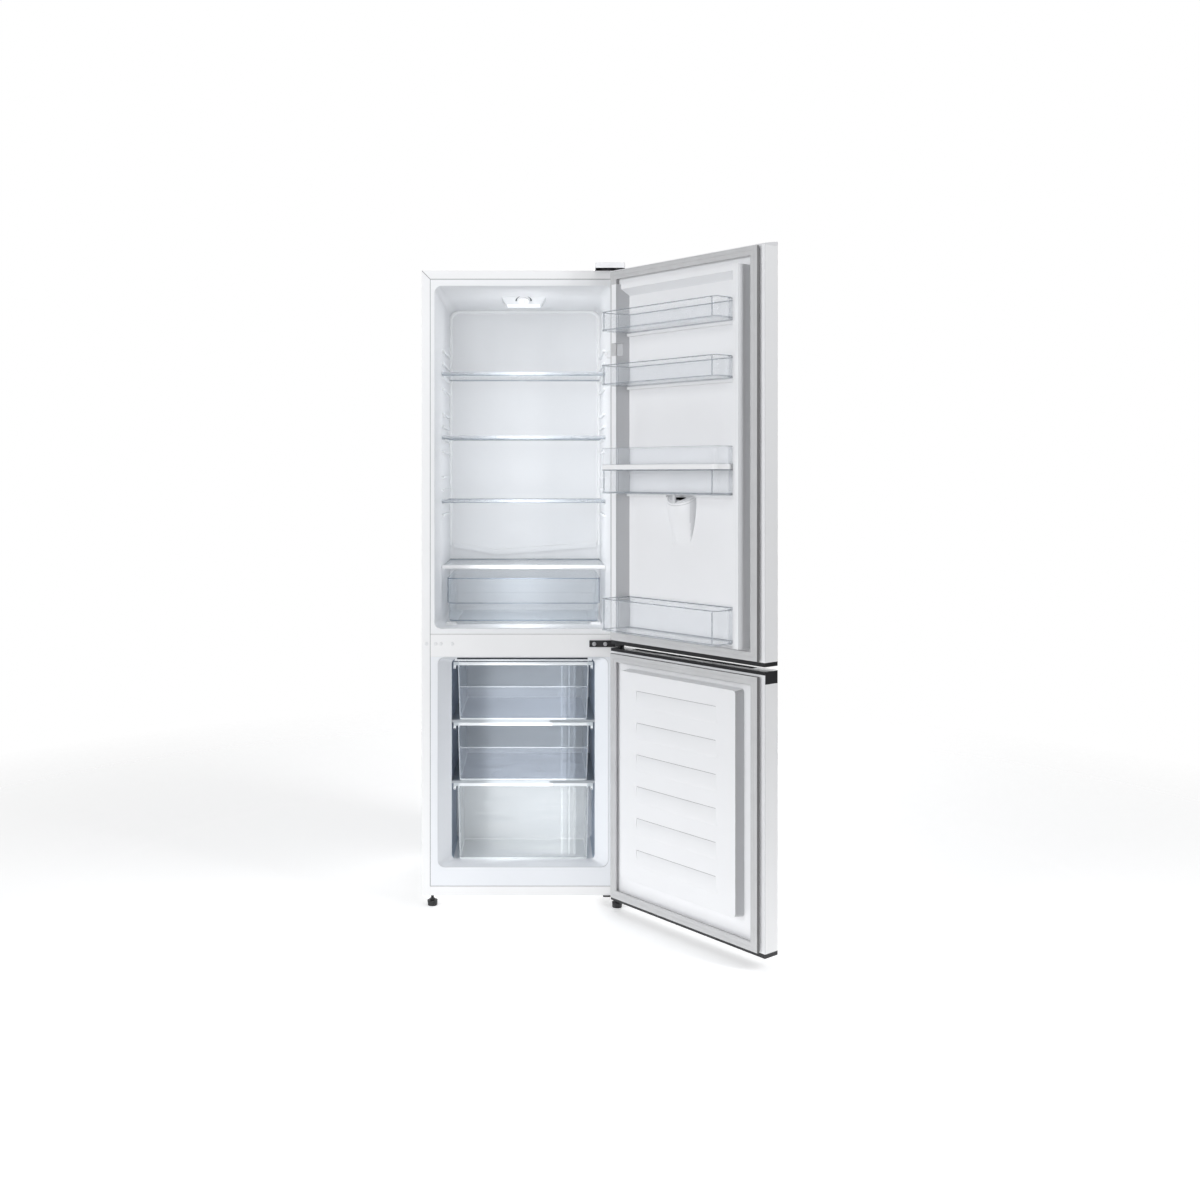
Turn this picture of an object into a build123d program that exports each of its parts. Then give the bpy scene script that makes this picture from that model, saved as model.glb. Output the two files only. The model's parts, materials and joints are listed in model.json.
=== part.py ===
from build123d import *
import os
from math import atan2, cos, degrees, radians, sin

os.makedirs("parts", exist_ok=True)

# A free-standing refrigerator with the freezer below, both doors open.
# While it is built, X runs across the cabinet from its middle, Y runs back from the
# plane of its front edge, and Z runs up from the floor. Millimetres.

# Cabinet
width = 550.0
cabinet_top = 1726.0
cabinet_bottom = 30.0
cabinet_depth = 495.0
sheet = 0.8  # painted steel of the cabinet and the doors
liner_wall = 1.8  # vacuum-formed plastic
side_flange = 23.0  # folded front edge of the shell
seam = 0.2  # between the folded edge and the liners
running_gap = 0.3  # between a sliding or hooked piece and what carries it

# Fridge compartment
mouth_half = 240.5  # half the width of the opening at the front
fridge_low = 754.0
fridge_high = 1685.0
throat_depth = 95.0  # how far back the opening narrows
room_half = 229.5
ceiling = 1672.0
fridge_depth = 430.0
corner = 18.0
back_corner = 12.0

# Beam between the compartments, and freezer compartment
beam_high = 739.0
beam_low = 678.0
beam_depth = 18.0
beam_wall = 2.0
freezer_mouth_half = 231.5
freezer_low = 106.6
freezer_throat = 35.0
freezer_half = 196.0
freezer_floor = 117.0
freezer_ceiling = 668.0
freezer_depth = 400.0
freezer_corner = 15.0
freezer_back_corner = 8.0
plinth_high = 55.0
step_depth = 245.0  # depth of the freezer below the compressor step
shelf_tops = (499.7, 333.0)  # the two cold shelves that carry the upper drawers
cold_shelf_height = 6.8
cold_shelf_sheet = 1.5
cold_shelf_tubes = 8
cold_tube_radius = 2.5
cold_tube_bite = 0.5  # of the tubes, into the sheet
cold_tube_margin = 20.0

# Doors
door_width = 544.0
door_thickness = 50.0
door_gap = 14.0  # from the cabinet's front to the doors' inner plane
door_corner = 8.0
upper_low = 719.0
upper_high = 1725.0
lower_low = 33.0
lower_high = 708.0
cap_height = 10.0
cap_slope = 7.0  # fall of the upper door's top towards the cabinet
handle_height = 30.0
cap_band = 8.0  # height of the handle cap above the liner
grip_wall = 8.0
grip_width = 22.0
grip_deep = 20.0
grip_end = 60.0
open_angle = 128.5  # as the doors stand here
pivot_inset = 11.0  # hinge axis from the doors' hinge-side edge
pivot_back = 23.0  # hinge axis in front of the doors' inner plane
pin_radius = 5.0
pin_clearance = 0.05
pin_reach = 18.0
boss_radius = 9.0
boss_floor = 3.0  # of the bush, past the pin's end
lip = 12.0  # folded back edge of the door skins

gasket_inset = 12.0
gasket_width = 22.0
gasket_neck = 14.0
gasket_foot = 5.0
gasket_waist = 3.0

# Raised walls of the upper door's liner, measured from the door's edges
dyke_outer = 46.0
dyke_crest_outer = 48.0
dyke_crest_inner = 65.0
dyke_inner = 74.0
dyke_height = 40.0
dyke_low = 759.0
dyke_high = 1672.0
cross_wall_height = 25.0
cross_wall_crest = 12.0
cross_wall_base = 30.0

# Raised panel of the lower door's liner
panel_inset = 68.0
panel_low = 117.0
panel_high = 658.0
panel_height = 28.0
panel_draft = 3.0
pocket_count = 6
pocket_pitch = 82.3
pocket_first = 612.0  # top edge of the highest pocket
pocket_height = 37.0
pocket_half = 142.0
pocket_depth = 8.0

# Door fittings
plastic_wall = 2.2
balcony_back_half = 196.0  # between the raised walls
balcony_front_half = 205.0  # in front of them
balcony_reach = 96.0
balcony_back_gap = 1.0
shoulder = 41.0
balcony_corner = 12.0
ledge_reach = 10.0
ledge_height = 7.0
top_balcony = (1543.0, 1594.0)
middle_balcony = (1403.0, 1456.0)
bottle_balcony_z = (768.0, 852.0)
tank_z = (1123.0, 1185.0)
lid_height = 13.0
rack_height = 43.0
notch_z = (1484.0, 1518.0)  # room for the lamp switch in the hinge-side wall

# Dispenser
niche_z = (1000.0, 1118.0)
niche_top_half = 49.0
niche_bottom_half = 30.0
niche_behind = 16.0  # how far it stands out of the liner
bezel = 5.0
bezel_proud = 1.5
port_width = 41.0
port_height = 10.0
port_z = 1105.0
port_rim_width = 96.0
port_rim_height = 24.0
port_rim_proud = 5.0
outlet_radius = 4.5
valve_radius = 9.0
valve_y = -42.0
valve_drop = 22.0
inlet_gap = 2.0
lever_width = 36.0
lever_length = 62.0
lever_thick = 3.0
lever_pivot_z = 1082.0
lever_pivot_y = -30.0
lever_pin_radius = 2.5

# Shelves and drawers in the fridge
shelf_front = 100.0
shelf_depth = 272.0
shelf_gap = 1.5  # from the walls
glass = 4.0
glass_corner = 8.0
trim_round = 3.0
trim_height = 10.0
trim_depth = 14.0
trim_bite = 8.0  # glass inside the trim
shelf_levels = (1452.0, 1274.0, 1096.0)
rail_pitch = 35.6
spare_rails = (2, 1, -1)  # rails above and below each shelf, counted in pitches
rail_width = 7.0
rail_height = 6.0
cover_level = 912.0
cover_back_gap = 4.0
crisper_half = 214.0
crisper_floor = 760.0
crisper_high = 883.0
crisper_step = 813.0
crisper_step_in = 4.0
crisper_front = 104.0
crisper_back = 415.0
crisper_corner = 20.0
crisper_foot = 8.0
runner_inner = 188.0
runner_outer = 215.0

# Freezer drawers
drawer_half = 180.0
drawer_draft = 5.0
drawer_front = 40.0
drawer_back = 390.0
low_drawer_back = 232.0
drawer_corner = 10.0
rim_half = 191.0
rim_height = 7.7
rim_depth = 14.0
rim_proud = 4.0  # in front of the drawer
tab_height = 18.0
tab_width = 6.0
drawer_heights = (157.5, 158.6, 208.7)  # upper, middle and low drawer

# Lamp and thermostat in the fridge ceiling
lamp_front = 119.0
lamp_slope_end = 150.0
lamp_back = 232.0
lamp_drop = 17.0
lamp_top_half = 63.0
lamp_bottom_half = 50.0
lens_half = 46.0
lens_thick = 2.0
lens_margin = 8.0
lamp_roof = 3.0
dial_radius = 16.0
dial_height = 5.0
dial_edge = 1.0
grip_rib = (2.0, 26.0, 2.0)  # width, length and height
dial_shaft_radius = 3.0
dial_shaft_length = 6.0

# Lamp switch on the hinge-side wall
switch_z = 1501.0
switch_y = 22.0
switch_boss = (24.0, 20.0)
plunger_half = 3.0
plunger_out = 7.0
plunger_length = 16.0
plunger_nose = 1.5
boss_room = 1.0  # around the switch boss, where the foam is moulded away

# Hinges, feet and rollers
hinge_plate = 3.0
middle_plate_x = (180.0, 250.0)
middle_plate_z = (704.5, 722.5)
arm_thick = 5.0
arm_low = 711.0
arm_half = 11.0
arm_root = 10.0  # how far the top arm runs onto its plate
plate_setback = 5.0
low_plate_front = 3.0
collar_radius = 8.0
screw_head_radius = 5.5
screw_head = 2.5
screw_radius = 3.0
screw_length = 14.0
screw_clearance = 0.05
middle_screw_x = (193.0, 223.0)
screw_z = 713.0
bracket_screw_y = (28.0, 50.0)
top_screw_x = 215.0
low_screw_x = 225.0
plug_x = (-262.0, -237.6, -223.0, -192.5)
plug_radius = 5.0
plug_hole = 3.4
plug_head = 1.2
plug_length = 6.0
bracket = 4.0
top_bracket_x = (200.0, 272.0)
top_bracket_back = 60.0
cover_height = 15.0
cover_wall = 2.0
cover_room = 6.0  # around the bracket
cover_side = 1.0  # from the cabinet's side
cover_corner = 6.0
cover_edge = 4.0
foot_radius = 14.0
foot_height = 14.0
stem_radius = 4.0
stem_top = 42.0
stem_low = 0.5
foot_taper = 1.0
nut_radius = 7.0
nut_height = 5.0
stem_room = 1.0  # around the stems, where the foam is moulded away
left_foot_at = (-247.0, 14.0)
right_foot_at = (255.0, -4.0)
roller_radius = 14.0
roller_width = 16.0
roller_chamfer = 1.0
axle_proud = 1.0
roller_x = 225.0
roller_y = 440.0
axle_radius = 4.0
ear_thick = 3.0
tray_sheet = 1.2

# Machine compartment and back
machine_front = 295.0
machine_high = 290.0
machine_wall = 16.0
compressor_at = (-60.0, 395.0)
can_radius = 70.0
can_half_x = 78.0
can_height = 160.0
can_corner = 28.0
mount_radius = 11.0
mount_height = 14.0
mount_spread = (130.0, 90.0)
mount_tip = 2.0  # of each rubber mount, above the base plate
base_margin = 15.0
base_bite = 1.0  # of the base plate, into the can
base_plate = 3.0
drip_size = (150.0, 120.0, 28.0)
drip_wall = 2.0
drip_corner = 12.0
box_size = (34.0, 60.0, 46.0)
box_bite = 3.0  # how far the box reaches over the can's curve
box_corner = 4.0
gland_radius = 7.0
cord_hole_radius = 4.0
gland_length = 12.0
cord_hole_depth = 10.0
condenser_half = 190.0
condenser_low = 360.0
condenser_pitch = 60.0
condenser_runs = 18
condenser_tube = 2.4
condenser_stand = 18.0
condenser_foot = 300.0
wire_radius = 0.8
wire_count = 22
wire_gap = 0.05
clip_width = 12.0
clip_inset = 30.0
wire_overhang = 10.0  # past the end runs of the tube
wire_margin = 6.0
pipe_bend = 25.0
pipe_z = 120.0
cold_plate = (380.0, 520.0, 1.2)  # width, height and thickness
cold_plate_low = 980.0
gutter_depth = 6.0
gutter_height = 16.0
gutter_high = 967.0
gutter_low = 944.0  # where the two slopes meet, above the drain
drain_x = -85.0

# Values worked out from the sizes above
half = width / 2
door_half = door_width / 2
inner_plane = -door_gap
outer_plane = -door_gap - door_thickness
pivot_x = door_half - pivot_inset
pivot_y = inner_plane - pivot_back
liner_edge = half - side_flange - seam
tray_top = cabinet_bottom + tray_sheet
lamp_bottom = ceiling - lamp_drop
lamp_angle = degrees(atan2(lamp_drop, lamp_slope_end - lamp_front))
condenser_y = cabinet_depth + condenser_stand
step_top = shelf_tops[1] - cold_shelf_height


def facing(y):
    """The upright plane at depth y, drawn as seen from the front."""
    return Plane.XZ.offset(-y)


def block(x, y, z, mode=Mode.ADD):
    """A box between two limits along each axis."""
    with Locations((sum(x) / 2, sum(y) / 2, sum(z) / 2)):
        Box(x[1] - x[0], y[1] - y[0], z[1] - z[0], mode=mode)


def post(x, y, z, radius, mode=Mode.ADD):
    """An upright cylinder between two heights."""
    with Locations((x, y, sum(z) / 2)):
        Cylinder(radius, z[1] - z[0], mode=mode)


def rounded(x, z, radius, mode=Mode.ADD):
    """A rounded rectangle between two limits along each sketch axis."""
    with Locations((sum(x) / 2, sum(z) / 2)):
        RectangleRounded(x[1] - x[0], z[1] - z[0], radius, mode=mode)


def flat(x, z, mode=Mode.ADD):
    """A plain rectangle between two limits along each sketch axis."""
    with Locations((sum(x) / 2, sum(z) / 2)):
        Rectangle(x[1] - x[0], z[1] - z[0], mode=mode)


def compartment(mouth, room, throat, depth, radius, back_radius, grow=0.0):
    """A moulded recess: a throat that narrows to the room, and a rounded back wall."""
    mouth_half_x, mouth_low, mouth_high = mouth
    room_half_x, room_low, room_high = room
    mouth_x = (-mouth_half_x - grow, mouth_half_x + grow)
    room_x = (-room_half_x - grow, room_half_x + grow)
    mouth_z = (mouth_low - grow, mouth_high + grow)
    room_z = (room_low - grow, room_high + grow)
    with BuildPart() as recess:
        with BuildSketch(facing(throat)):
            rounded(room_x, room_z, radius + grow)
        extrude(amount=-(depth + grow - throat))
        back = recess.faces().sort_by(Axis.Y)[-1]
        fillet(back.edges(), back_radius + grow)
        with BuildSketch(facing(0)):
            rounded(mouth_x, mouth_z, radius + grow)
        with BuildSketch(facing(throat)):
            rounded(room_x, room_z, radius + grow)
        loft(ruled=True)
    return recess.part


def fridge_room(grow=0.0):
    return compartment(
        (mouth_half, fridge_low, fridge_high),
        (room_half, fridge_low, ceiling),
        throat_depth, fridge_depth, corner, back_corner, grow,
    )


def freezer_room(grow=0.0):
    """The freezer's recess, which is shallower below the compressor step."""
    whole = compartment(
        (freezer_mouth_half, freezer_low, beam_low - seam - liner_wall),
        (freezer_half, freezer_floor, freezer_ceiling),
        freezer_throat, freezer_depth, freezer_corner, freezer_back_corner, grow,
    )
    with BuildPart() as recess:
        add(whole)
        block((-half, half), (step_depth + grow, cabinet_depth),
              (cabinet_bottom, step_top - grow), Mode.SUBTRACT)
    return recess.part


# Screws of the three hinges: the head lies on the plate, the shank goes through it
with BuildPart() as hinge_screws:
    for radius, reach in ((screw_radius, -screw_length), (screw_head_radius, screw_head)):
        with BuildSketch(facing(-hinge_plate)):
            with Locations(*[(x, screw_z) for x in middle_screw_x]):
                Circle(radius)
        extrude(amount=reach)
    top_seat = cabinet_top + bracket
    low_seat = cabinet_bottom - bracket
    for y in bracket_screw_y:
        post(top_screw_x, y, (top_seat, top_seat + screw_head), screw_head_radius)
        post(top_screw_x, y, (top_seat - screw_length, top_seat), screw_radius)
        post(low_screw_x, y, (low_seat - screw_head, low_seat), screw_head_radius)
        post(low_screw_x, y, (low_seat, low_seat + screw_length), screw_radius)
hinge_screws.part.label = "hinge_screws"

# Plugs in the hinge holes that the other way of hanging the doors would use
with BuildPart() as hole_plugs:
    for radius, reach in ((plug_radius, plug_head), (plug_hole - pin_clearance, -plug_length)):
        with BuildSketch(facing(0)):
            with Locations(*[(x, screw_z) for x in plug_x]):
                Circle(radius)
        extrude(amount=reach)
hole_plugs.part.label = "hole_plugs"

# Cabinet shell: one folded sheet over the sides and the top, with a turned-in front edge
with BuildPart() as cabinet_shell:
    with BuildSketch(facing(0)):
        flat((-half, half), (cabinet_bottom, cabinet_top))
        flat((-half + sheet, half - sheet), (cabinet_bottom, cabinet_top - sheet), Mode.SUBTRACT)
    extrude(amount=-cabinet_depth)
    with BuildSketch(facing(0)):
        flat((-half, half), (cabinet_bottom, cabinet_top))
        flat((-half + side_flange, half - side_flange),
             (cabinet_bottom, cabinet_top - side_flange), Mode.SUBTRACT)
    extrude(amount=-sheet)
    front_edges = cabinet_shell.edges().filter_by(Axis.Z).group_by(Axis.Y)[0]
    fillet([e for e in front_edges if abs(abs(e.center().X) - half) < sheet / 2], sheet / 2)
    add(hinge_screws.part, mode=Mode.SUBTRACT)
    add(hole_plugs.part, mode=Mode.SUBTRACT)
cabinet_shell.part.label = "cabinet_shell"

# Beam across the front between the compartments: a channel, open at the back
with BuildPart() as centre_beam:
    block((-liner_edge, liner_edge), (0, beam_depth), (beam_low, beam_high))
    block((-liner_edge + beam_wall, liner_edge - beam_wall), (beam_wall, beam_depth),
          (beam_low + beam_wall, beam_high - beam_wall), Mode.SUBTRACT)
    with BuildSketch(facing(0)):
        with Locations(*[(x, screw_z) for x in middle_screw_x]):
            Circle(screw_radius + screw_clearance)
        with Locations(*[(x, screw_z) for x in plug_x if abs(x) < liner_edge]):
            Circle(plug_hole)
    extrude(amount=-beam_wall, mode=Mode.SUBTRACT)
centre_beam.part.label = "centre_beam"

# Fridge liner: flange, recess, shelf rails, crisper runners, drain gutter, switch boss
with BuildPart() as fridge_liner:
    with BuildSketch(facing(0)):
        flat((-liner_edge, liner_edge), (beam_high + seam, cabinet_top - side_flange - seam))
    extrude(amount=-liner_wall)
    add(fridge_room(liner_wall))
    block((-half, half), (-door_gap, 0), (fridge_low - half, fridge_high + half), Mode.SUBTRACT)
    add(fridge_room(), mode=Mode.SUBTRACT)
    rail_y = (shelf_front + trim_depth + running_gap, shelf_front + shelf_depth)
    rail_tops = [level + k * rail_pitch for level in shelf_levels for k in (0, *spare_rails)]
    for side in (-1, 1):
        wall_x = sorted((side * (room_half - rail_width), side * (room_half + liner_wall / 2)))
        for top in (*rail_tops, cover_level):
            block(wall_x, rail_y, (top - rail_height, top))
        runner_x = sorted((side * runner_inner, side * runner_outer))
        block(runner_x, (crisper_front, crisper_back),
              (fridge_low - liner_wall / 2, crisper_floor - running_gap))
    gutter_reach = room_half - back_corner
    with BuildSketch(facing(fridge_depth - gutter_depth)):
        with BuildLine():
            Polyline(
                (-gutter_reach, gutter_high), (drain_x, gutter_low), (gutter_reach, gutter_high),
                (gutter_reach, gutter_high - gutter_height),
                (drain_x, gutter_low - gutter_height),
                (-gutter_reach, gutter_high - gutter_height), close=True,
            )
        make_face()
    extrude(amount=-(gutter_depth + liner_wall / 2))
    boss_y = (switch_y - switch_boss[0] / 2, switch_y + switch_boss[0] / 2)
    boss_z = (switch_z - switch_boss[1] / 2, switch_z + switch_boss[1] / 2)
    block((room_half, mouth_half), boss_y, boss_z)
    slot_half = plunger_half + running_gap
    slot_x = (room_half - plunger_out, mouth_half + plunger_length)
    block(slot_x, (switch_y - slot_half, switch_y + slot_half),
          (switch_z - slot_half, switch_z + slot_half), Mode.SUBTRACT)
fridge_liner.part.label = "fridge_liner"

# Freezer liner: a tall front flange and the stepped recess
with BuildPart() as freezer_liner:
    with BuildSketch(facing(0)):
        flat((-liner_edge, liner_edge), (plinth_high + seam, beam_low - seam))
    extrude(amount=-liner_wall)
    add(freezer_room(liner_wall))
    block((-half, half), (-door_gap, 0), (0, beam_high), Mode.SUBTRACT)
    add(freezer_room(), mode=Mode.SUBTRACT)
    block((-half, half), (0, freezer_depth), (beam_low - seam, beam_high), Mode.SUBTRACT)
freezer_liner.part.label = "freezer_liner"

# Base tray: floor of the cabinet, its front strip, and the ears of the rear rollers
with BuildPart() as base_tray:
    block((-half + sheet, half - sheet), (sheet, cabinet_depth), (cabinet_bottom, tray_top))
    block((-liner_edge, liner_edge), (0, tray_sheet), (cabinet_bottom, plinth_high))
    for side in (-1, 1):
        for ear in (-1, 1):
            ear_x = side * roller_x + ear * (roller_width / 2 + running_gap + ear_thick / 2)
            block((ear_x - ear_thick / 2, ear_x + ear_thick / 2),
                  (roller_y - 2 * axle_radius, roller_y + 2 * axle_radius),
                  (roller_radius - 2 * axle_radius, cabinet_bottom))
    with BuildSketch(Plane.YZ.offset(-half)):
        with Locations((roller_y, roller_radius)):
            Circle(axle_radius + pin_clearance)
    extrude(amount=width, mode=Mode.SUBTRACT)
    for x, y in (left_foot_at, right_foot_at):
        post(x, y, (cabinet_bottom, tray_top), stem_radius + pin_clearance, Mode.SUBTRACT)
    add(hinge_screws.part, mode=Mode.SUBTRACT)
base_tray.part.label = "base_tray"

# Rear rollers, each moulded with its own axle ends
rollers = []
for side, name in ((-1, "left"), (1, "right")):
    with BuildPart() as roller:
        with BuildSketch(Plane.YZ.offset(side * roller_x - roller_width / 2)):
            with Locations((roller_y, roller_radius)):
                Circle(roller_radius)
        extrude(amount=roller_width)
        rims = roller.edges().filter_by(GeomType.CIRCLE)
        chamfer(rims, roller_chamfer)
        axle_length = roller_width + 2 * (running_gap + ear_thick + axle_proud)
        with BuildSketch(Plane.YZ.offset(side * roller_x - axle_length / 2)):
            with Locations((roller_y, roller_radius)):
                Circle(axle_radius)
        extrude(amount=axle_length)
    roller.part.label = f"rear_roller_{name}"
    rollers.append(roller.part)

# Levelling feet: a tapered pad on a threaded stem
feet = []
for (x, y), name in ((left_foot_at, "left"), (right_foot_at, "right")):
    with BuildPart() as foot:
        with BuildSketch(Plane.XY):
            with Locations((x, y)):
                Circle(foot_radius - foot_taper)
        with BuildSketch(Plane.XY.offset(foot_height)):
            with Locations((x, y)):
                Circle(foot_radius)
        loft()
        with BuildSketch(Plane.XY.offset(foot_height)):
            with Locations((x, y)):
                RegularPolygon(nut_radius, 6)
        extrude(amount=nut_height)
        post(x, y, (stem_low, stem_top), stem_radius)
    foot.part.label = f"front_foot_{name}"
    feet.append(foot.part)

# Top hinge: a plate on the cabinet with an arm and a pin down into the upper door
with BuildPart() as top_hinge:
    block(top_bracket_x, (plate_setback, top_bracket_back), (cabinet_top, cabinet_top + bracket))
    block((pivot_x - arm_half, pivot_x + arm_half), (pivot_y, arm_root),
          (cabinet_top, cabinet_top + bracket))
    post(pivot_x, pivot_y, (cabinet_top, cabinet_top + bracket), arm_half)
    post(pivot_x, pivot_y, (cabinet_top - pin_reach, cabinet_top), pin_radius)
    add(hinge_screws.part, mode=Mode.SUBTRACT)
top_hinge.part.label = "top_hinge"

# Its moulded cover, hollow underneath
cover_x = (top_bracket_x[0] - cover_room, half - cover_side)
cover_y = (pivot_y - arm_half - cover_wall - cover_side, top_bracket_back + cover_room)
with BuildPart() as top_hinge_cover:
    block(cover_x, cover_y, (cabinet_top, cabinet_top + cover_height))
    fillet(top_hinge_cover.edges().filter_by(Axis.Z), cover_corner)
    fillet(top_hinge_cover.faces().sort_by(Axis.Z)[-1].edges(), cover_edge)
    block((cover_x[0] + cover_wall, cover_x[1] - cover_wall),
          (cover_y[0] + cover_wall, cover_y[1] - cover_wall),
          (cabinet_top, cabinet_top + cover_height - cover_wall), Mode.SUBTRACT)
top_hinge_cover.part.label = "top_hinge_cover"

# Middle hinge: plate on the beam, arm between the doors, a pin up and a pin down
arm_z = (arm_low, arm_low + arm_thick)
with BuildPart() as middle_hinge:
    block(middle_plate_x, (-hinge_plate, 0), middle_plate_z)
    block((pivot_x - arm_half, pivot_x + arm_half), (pivot_y, -hinge_plate), arm_z)
    block((middle_plate_x[1] - 2 * arm_half, pivot_x + arm_half), (-3 * hinge_plate, 0), arm_z)
    post(pivot_x, pivot_y, arm_z, arm_half)
    post(pivot_x, pivot_y, (arm_z[1], upper_low - running_gap), collar_radius)
    post(pivot_x, pivot_y, (lower_high - pin_reach, upper_low + pin_reach), pin_radius)
    add(hinge_screws.part, mode=Mode.SUBTRACT)
middle_hinge.part.label = "middle_hinge"

# Bottom hinge: a plate under the cabinet with a pin up into the lower door
under = (cabinet_bottom - bracket, cabinet_bottom)
with BuildPart() as bottom_hinge:
    block((pivot_x - 4 * arm_half, pivot_x + arm_half), (-low_plate_front, top_bracket_back), under)
    block((pivot_x - arm_half, pivot_x + arm_half), (pivot_y, 0), under)
    post(pivot_x, pivot_y, under, arm_half)
    post(pivot_x, pivot_y, (under[1], lower_low - running_gap), collar_radius)
    post(pivot_x, pivot_y, (under[1], lower_low + pin_reach), pin_radius)
    post(*right_foot_at, under, stem_radius + pin_clearance, Mode.SUBTRACT)
    add(hinge_screws.part, mode=Mode.SUBTRACT)
bottom_hinge.part.label = "bottom_hinge"

# Compressor: a rounded can on a base plate, a terminal box and the cord gland beside it
can_low = tray_top + mount_height + base_plate
cx, cy = compressor_at
with BuildPart() as compressor:
    with BuildSketch(Plane.XY.offset(can_low)):
        with Locations((cx, cy)):
            Ellipse(can_half_x, can_radius)
    extrude(amount=can_height)
    fillet(compressor.edges().sort_by(Axis.Z)[-1], can_corner)
    fillet(compressor.edges().sort_by(Axis.Z)[0], can_corner / 2)
    base_x = mount_spread[0] / 2 + base_margin
    base_y = mount_spread[1] / 2 + base_margin
    block((cx - base_x, cx + base_x), (cy - base_y, cy + base_y),
          (can_low - base_plate, can_low + base_bite))
    with Locations((cx, cy, can_low)):
        with GridLocations(mount_spread[0], mount_spread[1], 2, 2):
            Hole(mount_radius / 2)
compressor.part.label = "compressor"

with BuildPart() as compressor_mounts:
    with BuildSketch(Plane.XY.offset(tray_top)):
        with Locations((cx, cy)):
            with GridLocations(mount_spread[0], mount_spread[1], 2, 2):
                Circle(mount_radius)
    extrude(amount=mount_height)
    with BuildSketch(Plane.XY.offset(tray_top + mount_height)):
        with Locations((cx, cy)):
            with GridLocations(mount_spread[0], mount_spread[1], 2, 2):
                Circle(mount_radius / 2 - pin_clearance)
    extrude(amount=base_plate + mount_tip)
compressor_mounts.part.label = "compressor_mounts"

box_low = can_low + can_height / 3
box_x = (cx + can_half_x - box_bite, cx + can_half_x - box_bite + box_size[0])
with BuildPart() as terminal_box:
    block(box_x, (cy - box_size[1] / 2, cy + box_size[1] / 2), (box_low, box_low + box_size[2]))
    fillet(terminal_box.edges().filter_by(Axis.Y), box_corner)
    with BuildSketch(facing(cy + box_size[1] / 2)):
        with Locations((sum(box_x) / 2 + box_bite, box_low + box_size[2] / 2)):
            Circle(gland_radius)
    extrude(amount=-gland_length)
    with BuildSketch(facing(cy + box_size[1] / 2 + gland_length)):
        with Locations((sum(box_x) / 2 + box_bite, box_low + box_size[2] / 2)):
            Circle(cord_hole_radius)
    extrude(amount=gland_length + cord_hole_depth, mode=Mode.SUBTRACT)
    add(compressor.part, mode=Mode.SUBTRACT)
terminal_box.part.label = "terminal_box"

# Tray on the compressor that takes the defrost water, and the tube that brings it
drip_z = (can_low + can_height + running_gap / 3, can_low + can_height + drip_size[2])
with BuildPart() as drip_tray:
    with BuildSketch(Plane.XY.offset(drip_z[0])):
        with Locations((cx, cy)):
            RectangleRounded(drip_size[0], drip_size[1], drip_corner)
    extrude(amount=drip_size[2])
    with BuildSketch(Plane.XY.offset(drip_z[0] + drip_wall)):
        with Locations((cx, cy)):
            RectangleRounded(drip_size[0] - 2 * drip_wall, drip_size[1] - 2 * drip_wall,
                             drip_corner - drip_wall)
    extrude(amount=drip_size[2], mode=Mode.SUBTRACT)
drip_tray.part.label = "drip_tray"

# Thermostat and lamp housing under the ceiling, with a sloped front for the dial
with BuildPart() as lamp_housing:
    with BuildSketch(Plane.XY.offset(ceiling - running_gap / 3)):
        flat((-lamp_top_half, lamp_top_half), (lamp_front, lamp_back))
    with BuildSketch(Plane.XY.offset(lamp_bottom)):
        flat((-lamp_bottom_half, lamp_bottom_half), (lamp_slope_end, lamp_back))
    loft(ruled=True)
    block((-lens_half, lens_half), (lamp_slope_end + lens_margin, lamp_back - lens_margin),
          (lamp_bottom, ceiling - lamp_roof), Mode.SUBTRACT)
    dial_plane = Plane(
        origin=(0, (lamp_front + lamp_slope_end) / 2, (ceiling + lamp_bottom) / 2),
        x_dir=(1, 0, 0),
        z_dir=(0, -sin(radians(lamp_angle)), -cos(radians(lamp_angle))),
    )
    with BuildSketch(dial_plane):
        Circle(dial_shaft_radius + pin_clearance)
    extrude(amount=dial_shaft_length, both=True, mode=Mode.SUBTRACT)
lamp_housing.part.label = "lamp_housing"

with BuildPart() as lamp_lens:
    block((-lens_half + running_gap / 3, lens_half - running_gap / 3),
          (lamp_slope_end + lens_margin + running_gap / 3,
           lamp_back - lens_margin - running_gap / 3),
          (lamp_bottom, lamp_bottom + lens_thick))
lamp_lens.part.label = "lamp_lens"

with BuildPart() as thermostat_dial:
    with BuildSketch(dial_plane.offset(running_gap)):
        Circle(dial_radius)
    extrude(amount=dial_height)
    fillet(thermostat_dial.faces().sort_by(Axis.Z)[0].edges(), dial_edge)
    with BuildSketch(dial_plane.offset(running_gap + dial_height)):
        Rectangle(grip_rib[0], grip_rib[1])
    extrude(amount=grip_rib[2])
    with BuildSketch(dial_plane.offset(running_gap)):
        Circle(dial_shaft_radius)
    extrude(amount=-dial_shaft_length)
thermostat_dial.part.label = "thermostat_dial"

# Lamp switch plunger, which the door pushes towards the cabinet side
with BuildPart() as switch_plunger:
    block((room_half - plunger_out, room_half - plunger_out + plunger_length),
          (switch_y - plunger_half, switch_y + plunger_half),
          (switch_z - plunger_half, switch_z + plunger_half))
    fillet(switch_plunger.faces().sort_by(Axis.X)[0].edges(), plunger_nose)
switch_plunger.part.label = "switch_plunger"

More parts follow.
